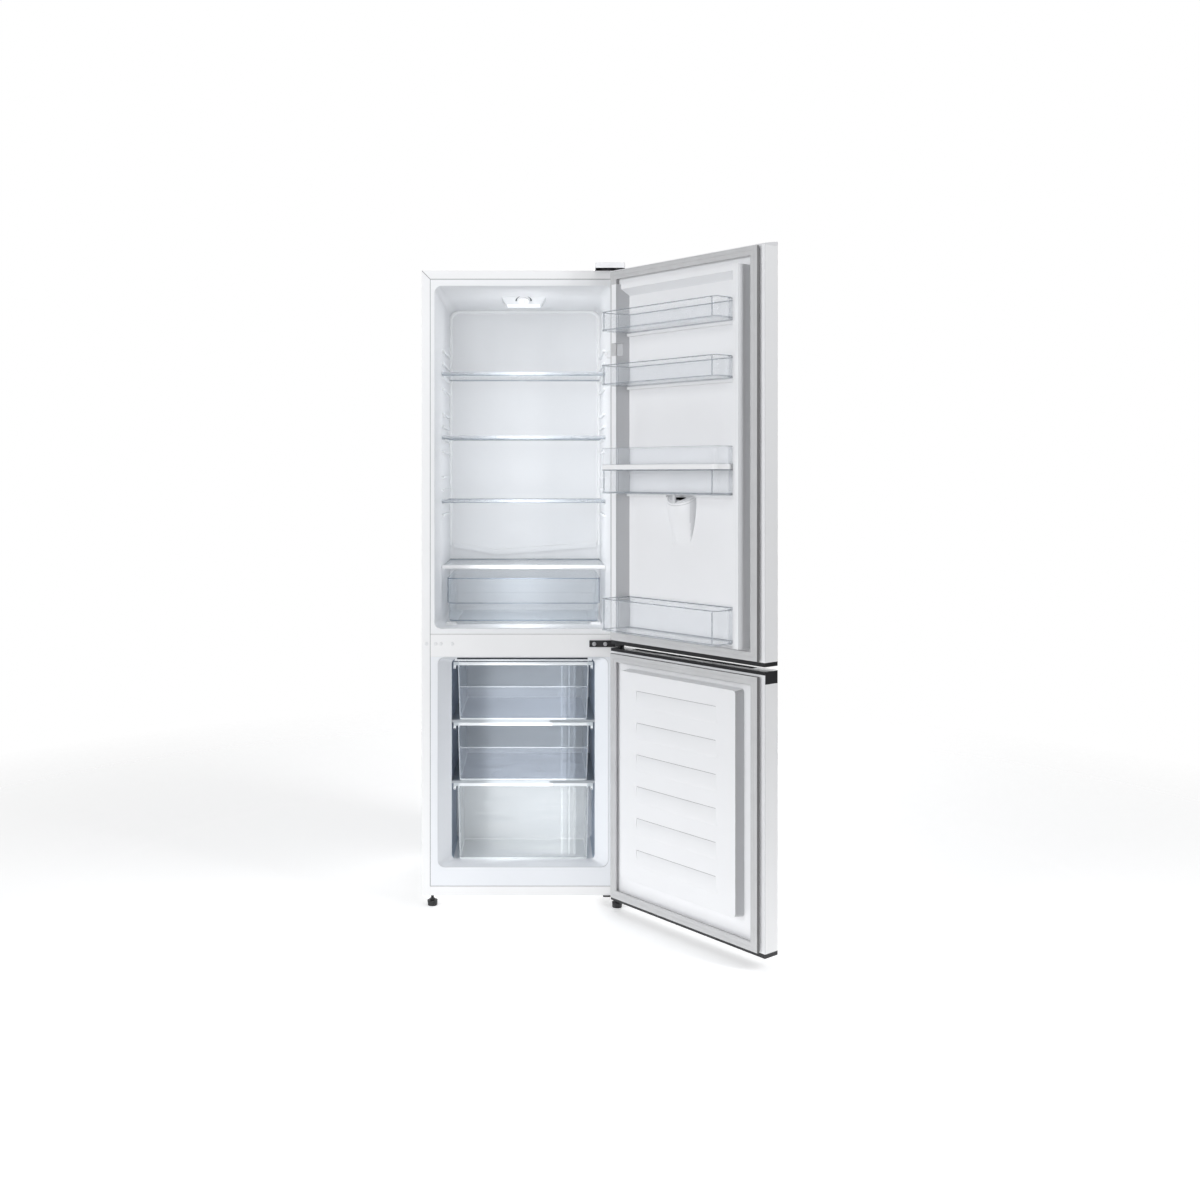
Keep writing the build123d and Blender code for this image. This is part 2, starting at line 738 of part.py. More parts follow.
# Cold shelves of the freezer and the cold plate behind the fridge's back wall
with BuildPart() as evaporator:
    for top in shelf_tops:
        shelf_half = freezer_half - running_gap
        shelf_y = (freezer_throat, freezer_depth - freezer_back_corner)
        block((-shelf_half, shelf_half), shelf_y, (top - cold_shelf_sheet, top))
        block((-shelf_half, shelf_half), (shelf_y[0], shelf_y[0] + cold_shelf_sheet),
              (top - cold_shelf_height, top))
        spread = (shelf_y[1] - shelf_y[0] - 2 * cold_tube_margin) / (cold_shelf_tubes - 1)
        tube_z = top - cold_shelf_sheet - cold_tube_radius + cold_tube_bite
        for k in range(cold_shelf_tubes):
            with BuildSketch(Plane.YZ.offset(-shelf_half)):
                with Locations((shelf_y[0] + cold_tube_margin + k * spread, tube_z)):
                    Circle(cold_tube_radius)
            extrude(amount=2 * shelf_half)
    plate_w, plate_h, plate_t = cold_plate
    block((-plate_w / 2, plate_w / 2),
          (fridge_depth + liner_wall, fridge_depth + liner_wall + plate_t),
          (cold_plate_low, cold_plate_low + plate_h))
evaporator.part.label = "evaporator"

# Foam that fills the cabinet between the shell, the beam and the two liners
with BuildPart() as cabinet_insulation:
    block((-half + sheet, half - sheet), (liner_wall, cabinet_depth),
          (tray_top, cabinet_top - sheet))
    add(fridge_room(liner_wall), mode=Mode.SUBTRACT)
    add(freezer_room(liner_wall), mode=Mode.SUBTRACT)
    block((-half + machine_wall, half - machine_wall), (machine_front, cabinet_depth + sheet),
          (0, machine_high), Mode.SUBTRACT)
    block((-liner_edge, liner_edge), (0, beam_depth), (beam_low, beam_high), Mode.SUBTRACT)
    block((-half, half), (fridge_depth + liner_wall, fridge_depth + liner_wall + cold_plate[2]),
          (cold_plate_low, cold_plate_low + cold_plate[1]), Mode.SUBTRACT)
    block((room_half, mouth_half + plunger_length + liner_wall),
          (boss_y[0] - boss_room, boss_y[1] + boss_room),
          (boss_z[0] - boss_room, boss_z[1] + boss_room), Mode.SUBTRACT)
    for x, y in (left_foot_at, right_foot_at):
        post(x, y, (0, stem_top + stem_room), stem_radius + stem_room, Mode.SUBTRACT)
    add(hinge_screws.part, mode=Mode.SUBTRACT)
    add(hole_plugs.part, mode=Mode.SUBTRACT)
cabinet_insulation.part.label = "cabinet_insulation"

# Back panel with the folded edges of the machine compartment's ceiling and front
with BuildPart() as back_panel:
    block((-half + sheet, half - sheet), (cabinet_depth, cabinet_depth + sheet),
          (machine_high, cabinet_top))
    clip_z = (condenser_low + condenser_pitch,
              condenser_low + condenser_pitch * (condenser_runs - 2))
    wire_front = condenser_y - condenser_tube - wire_gap - 2 * wire_radius
    for x in (-condenser_half + clip_inset, condenser_half - clip_inset):
        for z in clip_z:
            block((x - clip_width / 2, x + clip_width / 2),
                  (cabinet_depth + sheet / 2, wire_front - wire_gap),
                  (z - condenser_pitch / 2 - clip_width / 2,
                   z - condenser_pitch / 2 + clip_width / 2))
back_panel.part.label = "back_panel"

# Condenser: a serpentine tube with wires across it, and the pipe down to the compressor
with BuildPart() as condenser:
    bend = condenser_pitch / 2
    run_half = condenser_half - bend
    with BuildLine(facing(condenser_y)) as serpentine:
        Line((-run_half - bend, condenser_foot), (-run_half - bend, condenser_low + bend))
        ThreePointArc(
            (-run_half - bend, condenser_low + bend),
            (-run_half - bend * cos(radians(45)), condenser_low + bend + bend * sin(radians(45))),
            (-run_half, condenser_low + 2 * bend),
        )
        for run in range(1, condenser_runs):
            z = condenser_low + run * condenser_pitch
            side = 1 if run % 2 else -1
            Line((-side * run_half, z), (side * run_half, z))
            if run < condenser_runs - 1:
                ThreePointArc((side * run_half, z), (side * (run_half + bend), z + bend),
                              (side * run_half, z + condenser_pitch))
    with BuildSketch(Plane(serpentine.wires()[0] @ 0, z_dir=serpentine.wires()[0] % 0)):
        Circle(condenser_tube)
    sweep(path=serpentine.wires()[0])
    with BuildLine() as pipe:
        FilletPolyline(
            (cx - can_half_x - wire_gap, cy, pipe_z), (-run_half - bend, cy, pipe_z),
            (-run_half - bend, condenser_y, pipe_z), (-run_half - bend, condenser_y, condenser_foot),
            radius=pipe_bend,
        )
    with BuildSketch(Plane(pipe.wires()[0] @ 0, z_dir=pipe.wires()[0] % 0)):
        Circle(condenser_tube)
    sweep(path=pipe.wires()[0])
    wire_z = (condenser_low + condenser_pitch - wire_overhang,
              condenser_low + (condenser_runs - 1) * condenser_pitch + wire_overhang)
    first_wire = -run_half + wire_margin
    wire_step = -2 * first_wire / (wire_count - 1)
    for k in range(wire_count):
        post(first_wire + k * wire_step, wire_front + wire_radius, wire_z, wire_radius)
condenser.part.label = "condenser"


def shelf_pair(level, depth, name):
    """A glass plate lying on a pair of rails, and the moulded trim along its front edge."""
    low = level + running_gap
    shelf_x = (-room_half + shelf_gap, room_half - shelf_gap)
    with BuildPart() as plate:
        block(shelf_x, (shelf_front + trim_depth - trim_bite, shelf_front + depth),
              (low, low + glass))
        fillet(plate.edges().filter_by(Axis.Z).group_by(Axis.Y)[-1], glass_corner)
    middle = low + glass / 2
    with BuildPart() as trim:
        block(shelf_x, (shelf_front, shelf_front + trim_depth),
              (middle - trim_height / 2, middle + trim_height / 2))
        fillet(trim.edges().filter_by(Axis.X).group_by(Axis.Y)[0], trim_round)
        add(plate.part, mode=Mode.SUBTRACT)
    plate.part.label = f"{name}_glass"
    trim.part.label = f"{name}_trim"
    return [plate.part, trim.part]


shelf_names = ("upper_shelf", "middle_shelf", "lower_shelf")
shelves = [
    piece for level, name in zip(shelf_levels, shelf_names)
    for piece in shelf_pair(level, shelf_depth, name)
]
shelves += shelf_pair(cover_level, fridge_depth - shelf_front - cover_back_gap, "crisper_cover")


def crisper_form(inset, top):
    """The crisper's outline, stepped in below its moulded line."""
    with BuildPart() as form:
        for low, high, step_in in (
            (crisper_floor + inset, crisper_step + inset, crisper_step_in),
            (crisper_step + inset, top, 0),
        ):
            reach = inset + step_in
            with BuildSketch(Plane.XY.offset(low)):
                rounded((-crisper_half + reach, crisper_half - reach),
                        (crisper_front + reach, crisper_back - reach), crisper_corner - reach)
            extrude(amount=high - low)
        fillet(form.faces().sort_by(Axis.Z)[0].edges(), crisper_foot)
    return form.part


with BuildPart() as crisper:
    add(crisper_form(0, crisper_high))
    add(crisper_form(plastic_wall, crisper_high + plastic_wall), mode=Mode.SUBTRACT)
crisper.part.label = "crisper"


def drawer_form(low, high, back, inset):
    """A box that narrows a little downwards."""
    with BuildPart() as form:
        for z, draft in ((low, drawer_draft), (high, 0)):
            reach = inset + draft
            with BuildSketch(Plane.XY.offset(z)):
                rounded((-drawer_half + reach, drawer_half - reach),
                        (drawer_front + inset, back - reach), drawer_corner - inset)
        loft(ruled=True)
    return form.part


drawer_floors = (shelf_tops[0] + running_gap, shelf_tops[1] + running_gap,
                 freezer_floor + running_gap)
drawer_backs = (drawer_back, drawer_back, low_drawer_back)
drawer_names = ("upper", "middle", "lower")
drawers = []
for low, tall, back, name in zip(drawer_floors, drawer_heights, drawer_backs, drawer_names):
    high = low + tall
    with BuildPart() as drawer:
        add(drawer_form(low, high, back, 0))
        block((-rim_half, rim_half), (drawer_front - rim_proud, drawer_front + rim_depth - rim_proud),
              (high - rim_height, high))
        for side in (-1, 1):
            tab_x = sorted((side * rim_half, side * (rim_half - tab_width)))
            block(tab_x, (drawer_front - rim_proud, drawer_front + rim_depth - rim_proud),
                  (high - tab_height, high))
        add(drawer_form(low + plastic_wall, high + plastic_wall, back, plastic_wall),
            mode=Mode.SUBTRACT)
    drawer.part.label = f"freezer_drawer_{name}"
    drawers.append(drawer.part)


def door_plan(inset=0.0, back=0.0):
    """A door seen from above: a rectangle with its two front corners rounded."""
    with BuildSketch() as plan:
        flat((-door_half + inset, door_half - inset),
             (outer_plane + inset, inner_plane - back))
        fillet(plan.vertices().group_by(Axis.Y)[0], door_corner - inset)
    return plan.sketch


def door_skin(low, high, name):
    """Sheet over the door's front and sides, folded in at the back edges."""
    with BuildPart() as skin:
        with BuildSketch(Plane.XY.offset(low)):
            add(door_plan(back=liner_wall))
            add(door_plan(sheet, liner_wall + sheet), mode=Mode.SUBTRACT)
            flat((-door_half + lip, door_half - lip),
                 (inner_plane - liner_wall - 2 * sheet, inner_plane), Mode.SUBTRACT)
        extrude(amount=high - low)
    skin.part.label = name
    return skin.part


def door_foam(low, high):
    """The foam between a door's skin and the flat of its liner."""
    with BuildPart() as foam:
        with BuildSketch(Plane.XY.offset(low)):
            add(door_plan(sheet, liner_wall + sheet))
            flat((-door_half + lip, door_half - lip),
                 (inner_plane - liner_wall - 2 * sheet, inner_plane - liner_wall))
        extrude(amount=high - low)
    return foam.part


def door_cap(low, high, boss_low, boss_high, hole_low, hole_high):
    """A moulded end cap with the bush that takes the hinge pin."""
    with BuildPart() as cap:
        with BuildSketch(Plane.XY.offset(low)):
            add(door_plan())
        extrude(amount=high - low)
        post(pivot_x, pivot_y, (boss_low, boss_high), boss_radius)
        post(pivot_x, pivot_y, (hole_low, hole_high), pin_radius + pin_clearance, Mode.SUBTRACT)
    return cap.part


def door_gasket(low, high, name):
    """A bellows seal round the door's inner face, with a waist between foot and head."""
    outer_x = door_half - gasket_inset
    outer_z = (low + gasket_inset, high - gasket_inset)
    narrow = (gasket_width - gasket_neck) / 2
    head_y = inner_plane + gasket_foot + gasket_waist
    layers = (
        (inner_plane, inner_plane + gasket_foot, 0),
        (inner_plane + gasket_foot, head_y, narrow),
        (head_y, -running_gap, 0),
    )
    with BuildPart() as seal:
        for near, far, inset in layers:
            inner = gasket_width - inset
            with BuildSketch(facing(near)):
                flat((-outer_x + inset, outer_x - inset), (outer_z[0] + inset, outer_z[1] - inset))
                flat((-outer_x + inner, outer_x - inner),
                     (outer_z[0] + inner, outer_z[1] - inner), Mode.SUBTRACT)
            extrude(amount=near - far)
    seal.part.label = name
    return seal.part


def dykes(inset):
    """The raised walls of the upper liner: one at each side, a lower one across the top."""
    outer_base = door_half - dyke_outer - inset
    outer_crest = door_half - dyke_crest_outer - inset
    inner_crest = door_half - dyke_crest_inner + inset
    inner_base = door_half - dyke_inner + inset
    base = inner_plane - liner_wall - inset
    with BuildPart() as walls:
        with BuildSketch(Plane.XY.offset(dyke_low + inset)):
            for side in (-1, 1):
                with BuildLine():
                    Polyline(
                        (side * outer_base, base),
                        (side * outer_crest, inner_plane + dyke_height - inset),
                        (side * inner_crest, inner_plane + dyke_height - inset),
                        (side * inner_base, base), close=True,
                    )
                make_face()
        extrude(amount=dyke_high - dyke_low - 2 * inset)
        top = dyke_high - inset
        with BuildSketch(Plane.YZ.offset(-outer_crest)):
            with BuildLine():
                Polyline(
                    (base, top), (inner_plane + cross_wall_height - inset, top),
                    (inner_plane + cross_wall_height - inset, top - cross_wall_crest + inset),
                    (base, top - cross_wall_base + inset), close=True,
                )
            make_face()
        extrude(amount=2 * outer_crest)
        block((0, door_half), (inner_plane + dyke_height / 2 - inset, half),
              (notch_z[0] - inset, notch_z[1] + inset), Mode.SUBTRACT)
    return walls.part


def niche(grow):
    """The dispenser's recess, wide at its top and narrow at its foot."""
    with BuildPart() as recess:
        for z, half_x in ((niche_z[0] - grow, niche_bottom_half), (niche_z[1] + grow, niche_top_half)):
            with BuildSketch(Plane.XY.offset(z)):
                flat((-half_x - grow, half_x + grow), (outer_plane, inner_plane + niche_behind + grow))
        loft(ruled=True)
    return recess.part


# Upper door
upper_ends = (upper_low + cap_height, upper_high - cap_height)
upper_skin = door_skin(*upper_ends, "upper_door_skin")
with BuildPart() as upper_door_skin:
    add(upper_skin)
    add(niche(plastic_wall), mode=Mode.SUBTRACT)
upper_door_skin.part.label = "upper_door_skin"

upper_fittings = (top_balcony[0], middle_balcony[0], tank_z[0], bottle_balcony_z[0])
with BuildPart() as upper_door_liner:
    block((-door_half, door_half), (inner_plane - liner_wall, inner_plane), upper_ends)
    add(dykes(0))
    add(dykes(liner_wall), mode=Mode.SUBTRACT)
    for low in upper_fittings:
        block((-door_half + dyke_inner, door_half - dyke_inner),
              (inner_plane - liner_wall / 2, inner_plane + ledge_reach),
              (low - running_gap - ledge_height, low - running_gap))
    add(niche(plastic_wall), mode=Mode.SUBTRACT)
upper_door_liner.part.label = "upper_door_liner"

top_pin_low = cabinet_top - pin_reach
with BuildPart() as upper_door_top_cap:
    add(door_cap(upper_ends[1], upper_high, top_pin_low - boss_floor, upper_ends[1],
                 top_pin_low - pin_clearance, upper_high))
    with BuildSketch(Plane.YZ.offset(-door_half)):
        with BuildLine():
            Polyline((outer_plane + door_corner, upper_high), (inner_plane, upper_high),
                     (inner_plane, upper_high - cap_slope), close=True)
        make_face()
    extrude(amount=door_width, mode=Mode.SUBTRACT)
upper_door_top_cap.part.label = "upper_door_top_cap"

upper_door_bottom_cap = door_cap(
    upper_low, upper_ends[0], upper_ends[0], upper_low + pin_reach + boss_floor,
    upper_low, upper_low + pin_reach + pin_clearance,
)
upper_door_bottom_cap.label = "upper_door_bottom_cap"

with BuildPart() as upper_door_insulation:
    add(door_foam(*upper_ends))
    add(dykes(liner_wall))
    add(niche(plastic_wall), mode=Mode.SUBTRACT)
    add(upper_door_top_cap.part, mode=Mode.SUBTRACT)
    add(upper_door_bottom_cap, mode=Mode.SUBTRACT)
    post(pivot_x, pivot_y, (upper_low, upper_low + pin_reach + pin_clearance), boss_radius, Mode.SUBTRACT)
    post(pivot_x, pivot_y, (top_pin_low - pin_clearance, upper_high), boss_radius, Mode.SUBTRACT)
upper_door_insulation.part.label = "upper_door_insulation"

upper_door_gasket = door_gasket(upper_low, upper_high, "upper_door_gasket")


def balcony_plan(inset=0.0):
    """A door shelf seen from above: narrow between the raised walls, wide in front of them."""
    back = inner_plane + balcony_back_gap + inset
    step = inner_plane + shoulder + inset
    front = inner_plane + balcony_reach - inset
    narrow = balcony_back_half - inset
    wide = balcony_front_half - inset
    with BuildSketch() as plan:
        with BuildLine():
            Polyline((-narrow, back), (narrow, back), (narrow, step), (wide, step),
                     (wide, front), (-wide, front), (-wide, step), (-narrow, step), close=True)
        make_face()
        fillet(plan.vertices().group_by(Axis.Y)[-1], balcony_corner - inset)
    return plan.sketch


def bin_between(low, high, floor, name):
    """A box of the door shelves' outline, open at the top or the bottom."""
    with BuildPart() as box:
        with BuildSketch(Plane.XY.offset(low)):
            add(balcony_plan())
        extrude(amount=high - low)
        with BuildSketch(Plane.XY.offset(floor[0])):
            add(balcony_plan(plastic_wall))
        extrude(amount=floor[1] - floor[0], mode=Mode.SUBTRACT)
    box.part.label = name
    return box.part


balconies = [
    bin_between(low, high, (low + plastic_wall, high + plastic_wall), name)
    for (low, high), name in (
        (top_balcony, "upper_balcony"),
        (middle_balcony, "middle_balcony"),
        (bottle_balcony_z, "bottle_balcony"),
        (tank_z, "water_tank"),
    )
]
lid_z = (tank_z[1] + running_gap / 3, tank_z[1] + lid_height)
tank_lid = bin_between(*lid_z, (lid_z[0] - plastic_wall, lid_z[1] - plastic_wall), "tank_lid")
rack_z = (lid_z[1], lid_z[1] + rack_height)
tank_rack = bin_between(*rack_z, (rack_z[0] - plastic_wall, rack_z[1] + plastic_wall), "tank_rack")

# Dispenser: a recess in the door's front, with the port for the tank's outlet behind it
rim_y = inner_plane + niche_behind + plastic_wall
with BuildPart() as dispenser_housing:
    add(niche(plastic_wall))
    with BuildSketch(facing(outer_plane)):
        with BuildLine():
            reach = plastic_wall + bezel
            Polyline(
                (-niche_bottom_half - reach, niche_z[0] - reach),
                (niche_bottom_half + reach, niche_z[0] - reach),
                (niche_top_half + reach, niche_z[1] + reach),
                (-niche_top_half - reach, niche_z[1] + reach), close=True,
            )
        make_face()
    extrude(amount=bezel_proud)
    with BuildSketch(facing(rim_y - plastic_wall / 2)):
        with Locations((0, port_z)):
            SlotOverall(port_rim_width, port_rim_height)
    extrude(amount=-(port_rim_proud + plastic_wall / 2))
    add(niche(0), mode=Mode.SUBTRACT)
    with BuildSketch(facing(outer_plane)):
        with BuildLine():
            Polyline(
                (-niche_bottom_half, niche_z[0]), (niche_bottom_half, niche_z[0]),
                (niche_top_half, niche_z[1]), (-niche_top_half, niche_z[1]), close=True,
            )
        make_face()
    extrude(amount=2 * bezel_proud, mode=Mode.SUBTRACT)
    with BuildSketch(facing(inner_plane)):
        with Locations((0, port_z)):
            SlotOverall(port_width, port_height)
    extrude(amount=-half, mode=Mode.SUBTRACT)
    with BuildSketch(Plane.YZ.offset(-door_half)):
        with Locations((lever_pivot_y, lever_pivot_z)):
            Circle(lever_pin_radius + pin_clearance)
    extrude(amount=door_width, mode=Mode.SUBTRACT)
dispenser_housing.part.label = "dispenser_housing"

# Valve: a nozzle in the recess, fed through the port from under the tank
inlet_y = rim_y + port_rim_proud + outlet_radius + inlet_gap
with BuildPart() as dispenser_valve:
    post(0, valve_y, (port_z - valve_drop, niche_z[1]), valve_radius)
    with BuildSketch(facing(valve_y)):
        with Locations((0, port_z)):
            Circle(outlet_radius)
    extrude(amount=valve_y - inlet_y)
    with Locations((0, inlet_y, port_z)):
        Sphere(outlet_radius)
    post(0, inlet_y, (port_z, tank_z[0] - running_gap), outlet_radius)
dispenser_valve.part.label = "dispenser_valve"

# Lever that a glass pushes back, on a pin across the recess
pin_half = niche_bottom_half + (niche_top_half - niche_bottom_half) * (
    (lever_pivot_z - niche_z[0]) / (niche_z[1] - niche_z[0])) + plastic_wall / 2
with BuildPart() as dispenser_lever:
    block((-lever_width / 2, lever_width / 2),
          (lever_pivot_y - lever_thick / 2, lever_pivot_y + lever_thick / 2),
          (lever_pivot_z - lever_length, lever_pivot_z))
    fillet(dispenser_lever.edges().filter_by(Axis.Y).group_by(Axis.Z)[0], lever_width / 4)
    with BuildSketch(Plane.YZ.offset(-pin_half)):
        with Locations((lever_pivot_y, lever_pivot_z)):
            Circle(lever_pin_radius)
    extrude(amount=2 * pin_half)
dispenser_lever.part.label = "dispenser_lever"


def raised_panel(inset):
    """The lower liner's raised panel, with a row of shallow pockets across it."""
    with BuildPart() as panel:
        for y, out in ((inner_plane - liner_wall - inset, panel_draft),
                       (inner_plane + panel_height - inset, 0)):
            reach = door_half - panel_inset + out - inset
            with BuildSketch(facing(y)):
                rounded((-reach, reach), (panel_low - out + inset, panel_high + out - inset),
                        corner / 2)
        loft(ruled=True)
        for k in range(pocket_count):
            top = pocket_first - k * pocket_pitch
            block((-pocket_half - inset, pocket_half + inset),
                  (inner_plane + panel_height - pocket_depth - inset, half),
                  (top - pocket_height - inset, top + inset), Mode.SUBTRACT)
    return panel.part


# Lower door
lower_ends = (lower_low + cap_height, lower_high - handle_height)
lower_door_skin = door_skin(*lower_ends, "lower_door_skin")

with BuildPart() as lower_door_liner:
    block((-door_half, door_half), (inner_plane - liner_wall, inner_plane),
          (lower_ends[0], lower_high - cap_band))
    add(raised_panel(0))
    add(raised_panel(liner_wall), mode=Mode.SUBTRACT)
lower_door_liner.part.label = "lower_door_liner"

# Handle cap along the lower door's top, with a trough for the fingers
with BuildPart() as lower_door_handle_cap:
    with BuildSketch(Plane.XY.offset(lower_ends[1])):
        add(door_plan())
    extrude(amount=handle_height)
    block((-half, half), (inner_plane - liner_wall, inner_plane),
          (lower_ends[1], lower_high - cap_band), Mode.SUBTRACT)
    block((-door_half + grip_end, door_half - grip_end),
          (outer_plane + grip_wall, outer_plane + grip_wall + grip_width),
          (lower_high - grip_deep, lower_high), Mode.SUBTRACT)
    post(pivot_x, pivot_y, (lower_high - pin_reach - pin_clearance, lower_high),
         pin_radius + pin_clearance, Mode.SUBTRACT)
lower_door_handle_cap.part.label = "lower_door_handle_cap"

lower_door_bottom_cap = door_cap(
    lower_low, lower_ends[0], lower_ends[0], lower_low + pin_reach + boss_floor,
    lower_low, lower_low + pin_reach + pin_clearance,
)
lower_door_bottom_cap.label = "lower_door_bottom_cap"

with BuildPart() as lower_door_insulation:
    add(door_foam(*lower_ends))
    add(raised_panel(liner_wall))
    add(lower_door_bottom_cap, mode=Mode.SUBTRACT)
    post(pivot_x, pivot_y, (lower_low, lower_low + pin_reach + pin_clearance), boss_radius, Mode.SUBTRACT)
lower_door_insulation.part.label = "lower_door_insulation"

lower_door_gasket = door_gasket(lower_low, lower_high, "lower_door_gasket")

# The pieces as they stand: the doors are swung open, and the origin is under the middle
# of the whole
cabinet_pieces = [
    cabinet_shell.part, back_panel.part, cabinet_insulation.part, fridge_liner.part,
    freezer_liner.part, centre_beam.part, base_tray.part, compressor.part,
    compressor_mounts.part, terminal_box.part, drip_tray.part, condenser.part,
    evaporator.part, lamp_housing.part, lamp_lens.part, thermostat_dial.part,
    switch_plunger.part, top_hinge.part, top_hinge_cover.part, middle_hinge.part,
    bottom_hinge.part, hinge_screws.part, hole_plugs.part, crisper.part,
    *shelves, *drawers, *feet, *rollers,
]
door_pieces = [
    upper_door_skin.part, upper_door_liner.part, upper_door_insulation.part,
    upper_door_top_cap.part, upper_door_bottom_cap, upper_door_gasket, *balconies,
    tank_lid, tank_rack, dispenser_housing.part, dispenser_valve.part, dispenser_lever.part,
    lower_door_skin, lower_door_liner.part, lower_door_insulation.part,
    lower_door_handle_cap.part, lower_door_bottom_cap, lower_door_gasket,
]
hinge_axis = Axis((pivot_x, pivot_y, 0), (0, 0, 1))
standing = {piece.label: piece for piece in cabinet_pieces}
standing |= {piece.label: piece.rotate(hinge_axis, open_angle) for piece in door_pieces}
boxes = [piece.bounding_box() for piece in standing.values()]
origin_x = (min(b.min.X for b in boxes) + max(b.max.X for b in boxes)) / 2
origin_y = (min(b.min.Y for b in boxes) + max(b.max.Y for b in boxes)) / 2
origin_z = min(b.min.Z for b in boxes)
for label, piece in standing.items():
    placed = piece.moved(Location((-origin_x, -origin_y, -origin_z)))
    placed.label = label
    export_step(placed, f"parts/{label}.step")
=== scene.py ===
"""The looks of a free-standing refrigerator with the freezer below, doors open."""

import json
from math import pi, radians

import bmesh
import bpy
from mathutils import Matrix, Vector

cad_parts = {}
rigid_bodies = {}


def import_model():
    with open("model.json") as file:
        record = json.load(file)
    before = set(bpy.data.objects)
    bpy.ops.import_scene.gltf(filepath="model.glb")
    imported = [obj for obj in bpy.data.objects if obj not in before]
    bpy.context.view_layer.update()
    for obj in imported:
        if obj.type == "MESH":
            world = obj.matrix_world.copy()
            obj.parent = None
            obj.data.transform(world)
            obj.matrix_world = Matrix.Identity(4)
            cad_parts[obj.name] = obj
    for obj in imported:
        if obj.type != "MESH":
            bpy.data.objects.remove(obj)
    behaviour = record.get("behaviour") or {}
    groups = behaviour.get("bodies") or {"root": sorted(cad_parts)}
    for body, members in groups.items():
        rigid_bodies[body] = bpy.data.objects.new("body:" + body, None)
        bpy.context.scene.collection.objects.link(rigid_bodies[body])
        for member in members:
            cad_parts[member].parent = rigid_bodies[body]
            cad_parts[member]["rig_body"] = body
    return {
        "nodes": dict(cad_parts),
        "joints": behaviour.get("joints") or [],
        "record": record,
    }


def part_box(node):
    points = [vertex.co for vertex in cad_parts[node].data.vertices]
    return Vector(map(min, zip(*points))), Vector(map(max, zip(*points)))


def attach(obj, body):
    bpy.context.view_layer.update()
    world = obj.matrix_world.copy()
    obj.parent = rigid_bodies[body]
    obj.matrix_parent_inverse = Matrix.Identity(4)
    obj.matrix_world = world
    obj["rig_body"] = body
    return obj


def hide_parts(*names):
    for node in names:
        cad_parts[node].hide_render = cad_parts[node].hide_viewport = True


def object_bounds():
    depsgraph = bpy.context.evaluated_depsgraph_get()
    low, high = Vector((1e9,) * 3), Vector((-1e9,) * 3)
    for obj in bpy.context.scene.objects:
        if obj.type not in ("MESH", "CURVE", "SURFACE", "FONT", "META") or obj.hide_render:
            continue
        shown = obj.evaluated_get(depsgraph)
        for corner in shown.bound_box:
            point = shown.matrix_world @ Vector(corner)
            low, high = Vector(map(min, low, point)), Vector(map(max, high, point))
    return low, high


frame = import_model()
cad_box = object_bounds()
MM = 0.001

# Places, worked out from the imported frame. The cabinet's own measures run from the middle
# of its front plane, and a door's own measures are those of the closed door.
shell_low, shell_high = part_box("cabinet_shell")
CABINET = Matrix.Translation(((shell_low.x + shell_high.x) / 2, shell_low.y, 0))
door_joint = next(j for j in frame["joints"] if j["name"] == "upper_door_swing")
PIVOT = Vector(door_joint["pos_m"])
OPEN = radians(-door_joint["range_deg"][0])
DOOR = (
    Matrix.Translation((PIVOT.x, PIVOT.y, 0))
    @ Matrix.Rotation(OPEN, 4, "Z")
    @ Matrix.Translation((-PIVOT.x, -PIVOT.y, 0))
    @ CABINET
)
HALF = (shell_high.x - shell_low.x) / 2 / MM
TOP = shell_high.z / MM
BOTTOM = shell_low.z / MM

# The doors, measured while they are closed
DOOR_HALF = 272.0
DOOR_INNER = -14.0
UPPER_DOOR = (719.0, 1725.0)
LOWER_DOOR = (33.0, 708.0)

# The way from the hinges to the door's free edge, as the open door stands
AWAY = DOOR.to_3x3() @ Vector((-1, 0, 0))

# The fridge's room inside the cabinet
ROOM_HALF = 229.5
ROOM_BACK = 430.0

# Limits that take in the whole width of the cabinet, or all of a door's pieces in depth
WHOLE = (-300, 300)
ANY_DEPTH = (-50, 200)

# How close merged points are, and how little a faint edge line stands out of its clear piece
MERGE = 0.01 * MM
FAINT = 0.15


# ---------------------------------------------------------------- finishes


class Signal:
    """One output in a finish's nodes. Arithmetic on it adds Math nodes."""

    def __init__(self, finish, socket):
        self.finish = finish
        self.socket = socket

    def sum_of(self, operation, first, second):
        """The result of one Math node."""
        return self.finish.node("ShaderNodeMath", {"operation": operation}, {0: first, 1: second})

    def __add__(self, other):
        return self.sum_of("ADD", self, other)

    def __sub__(self, other):
        return self.sum_of("SUBTRACT", self, other)

    def __mul__(self, other):
        return self.sum_of("MULTIPLY", self, other)


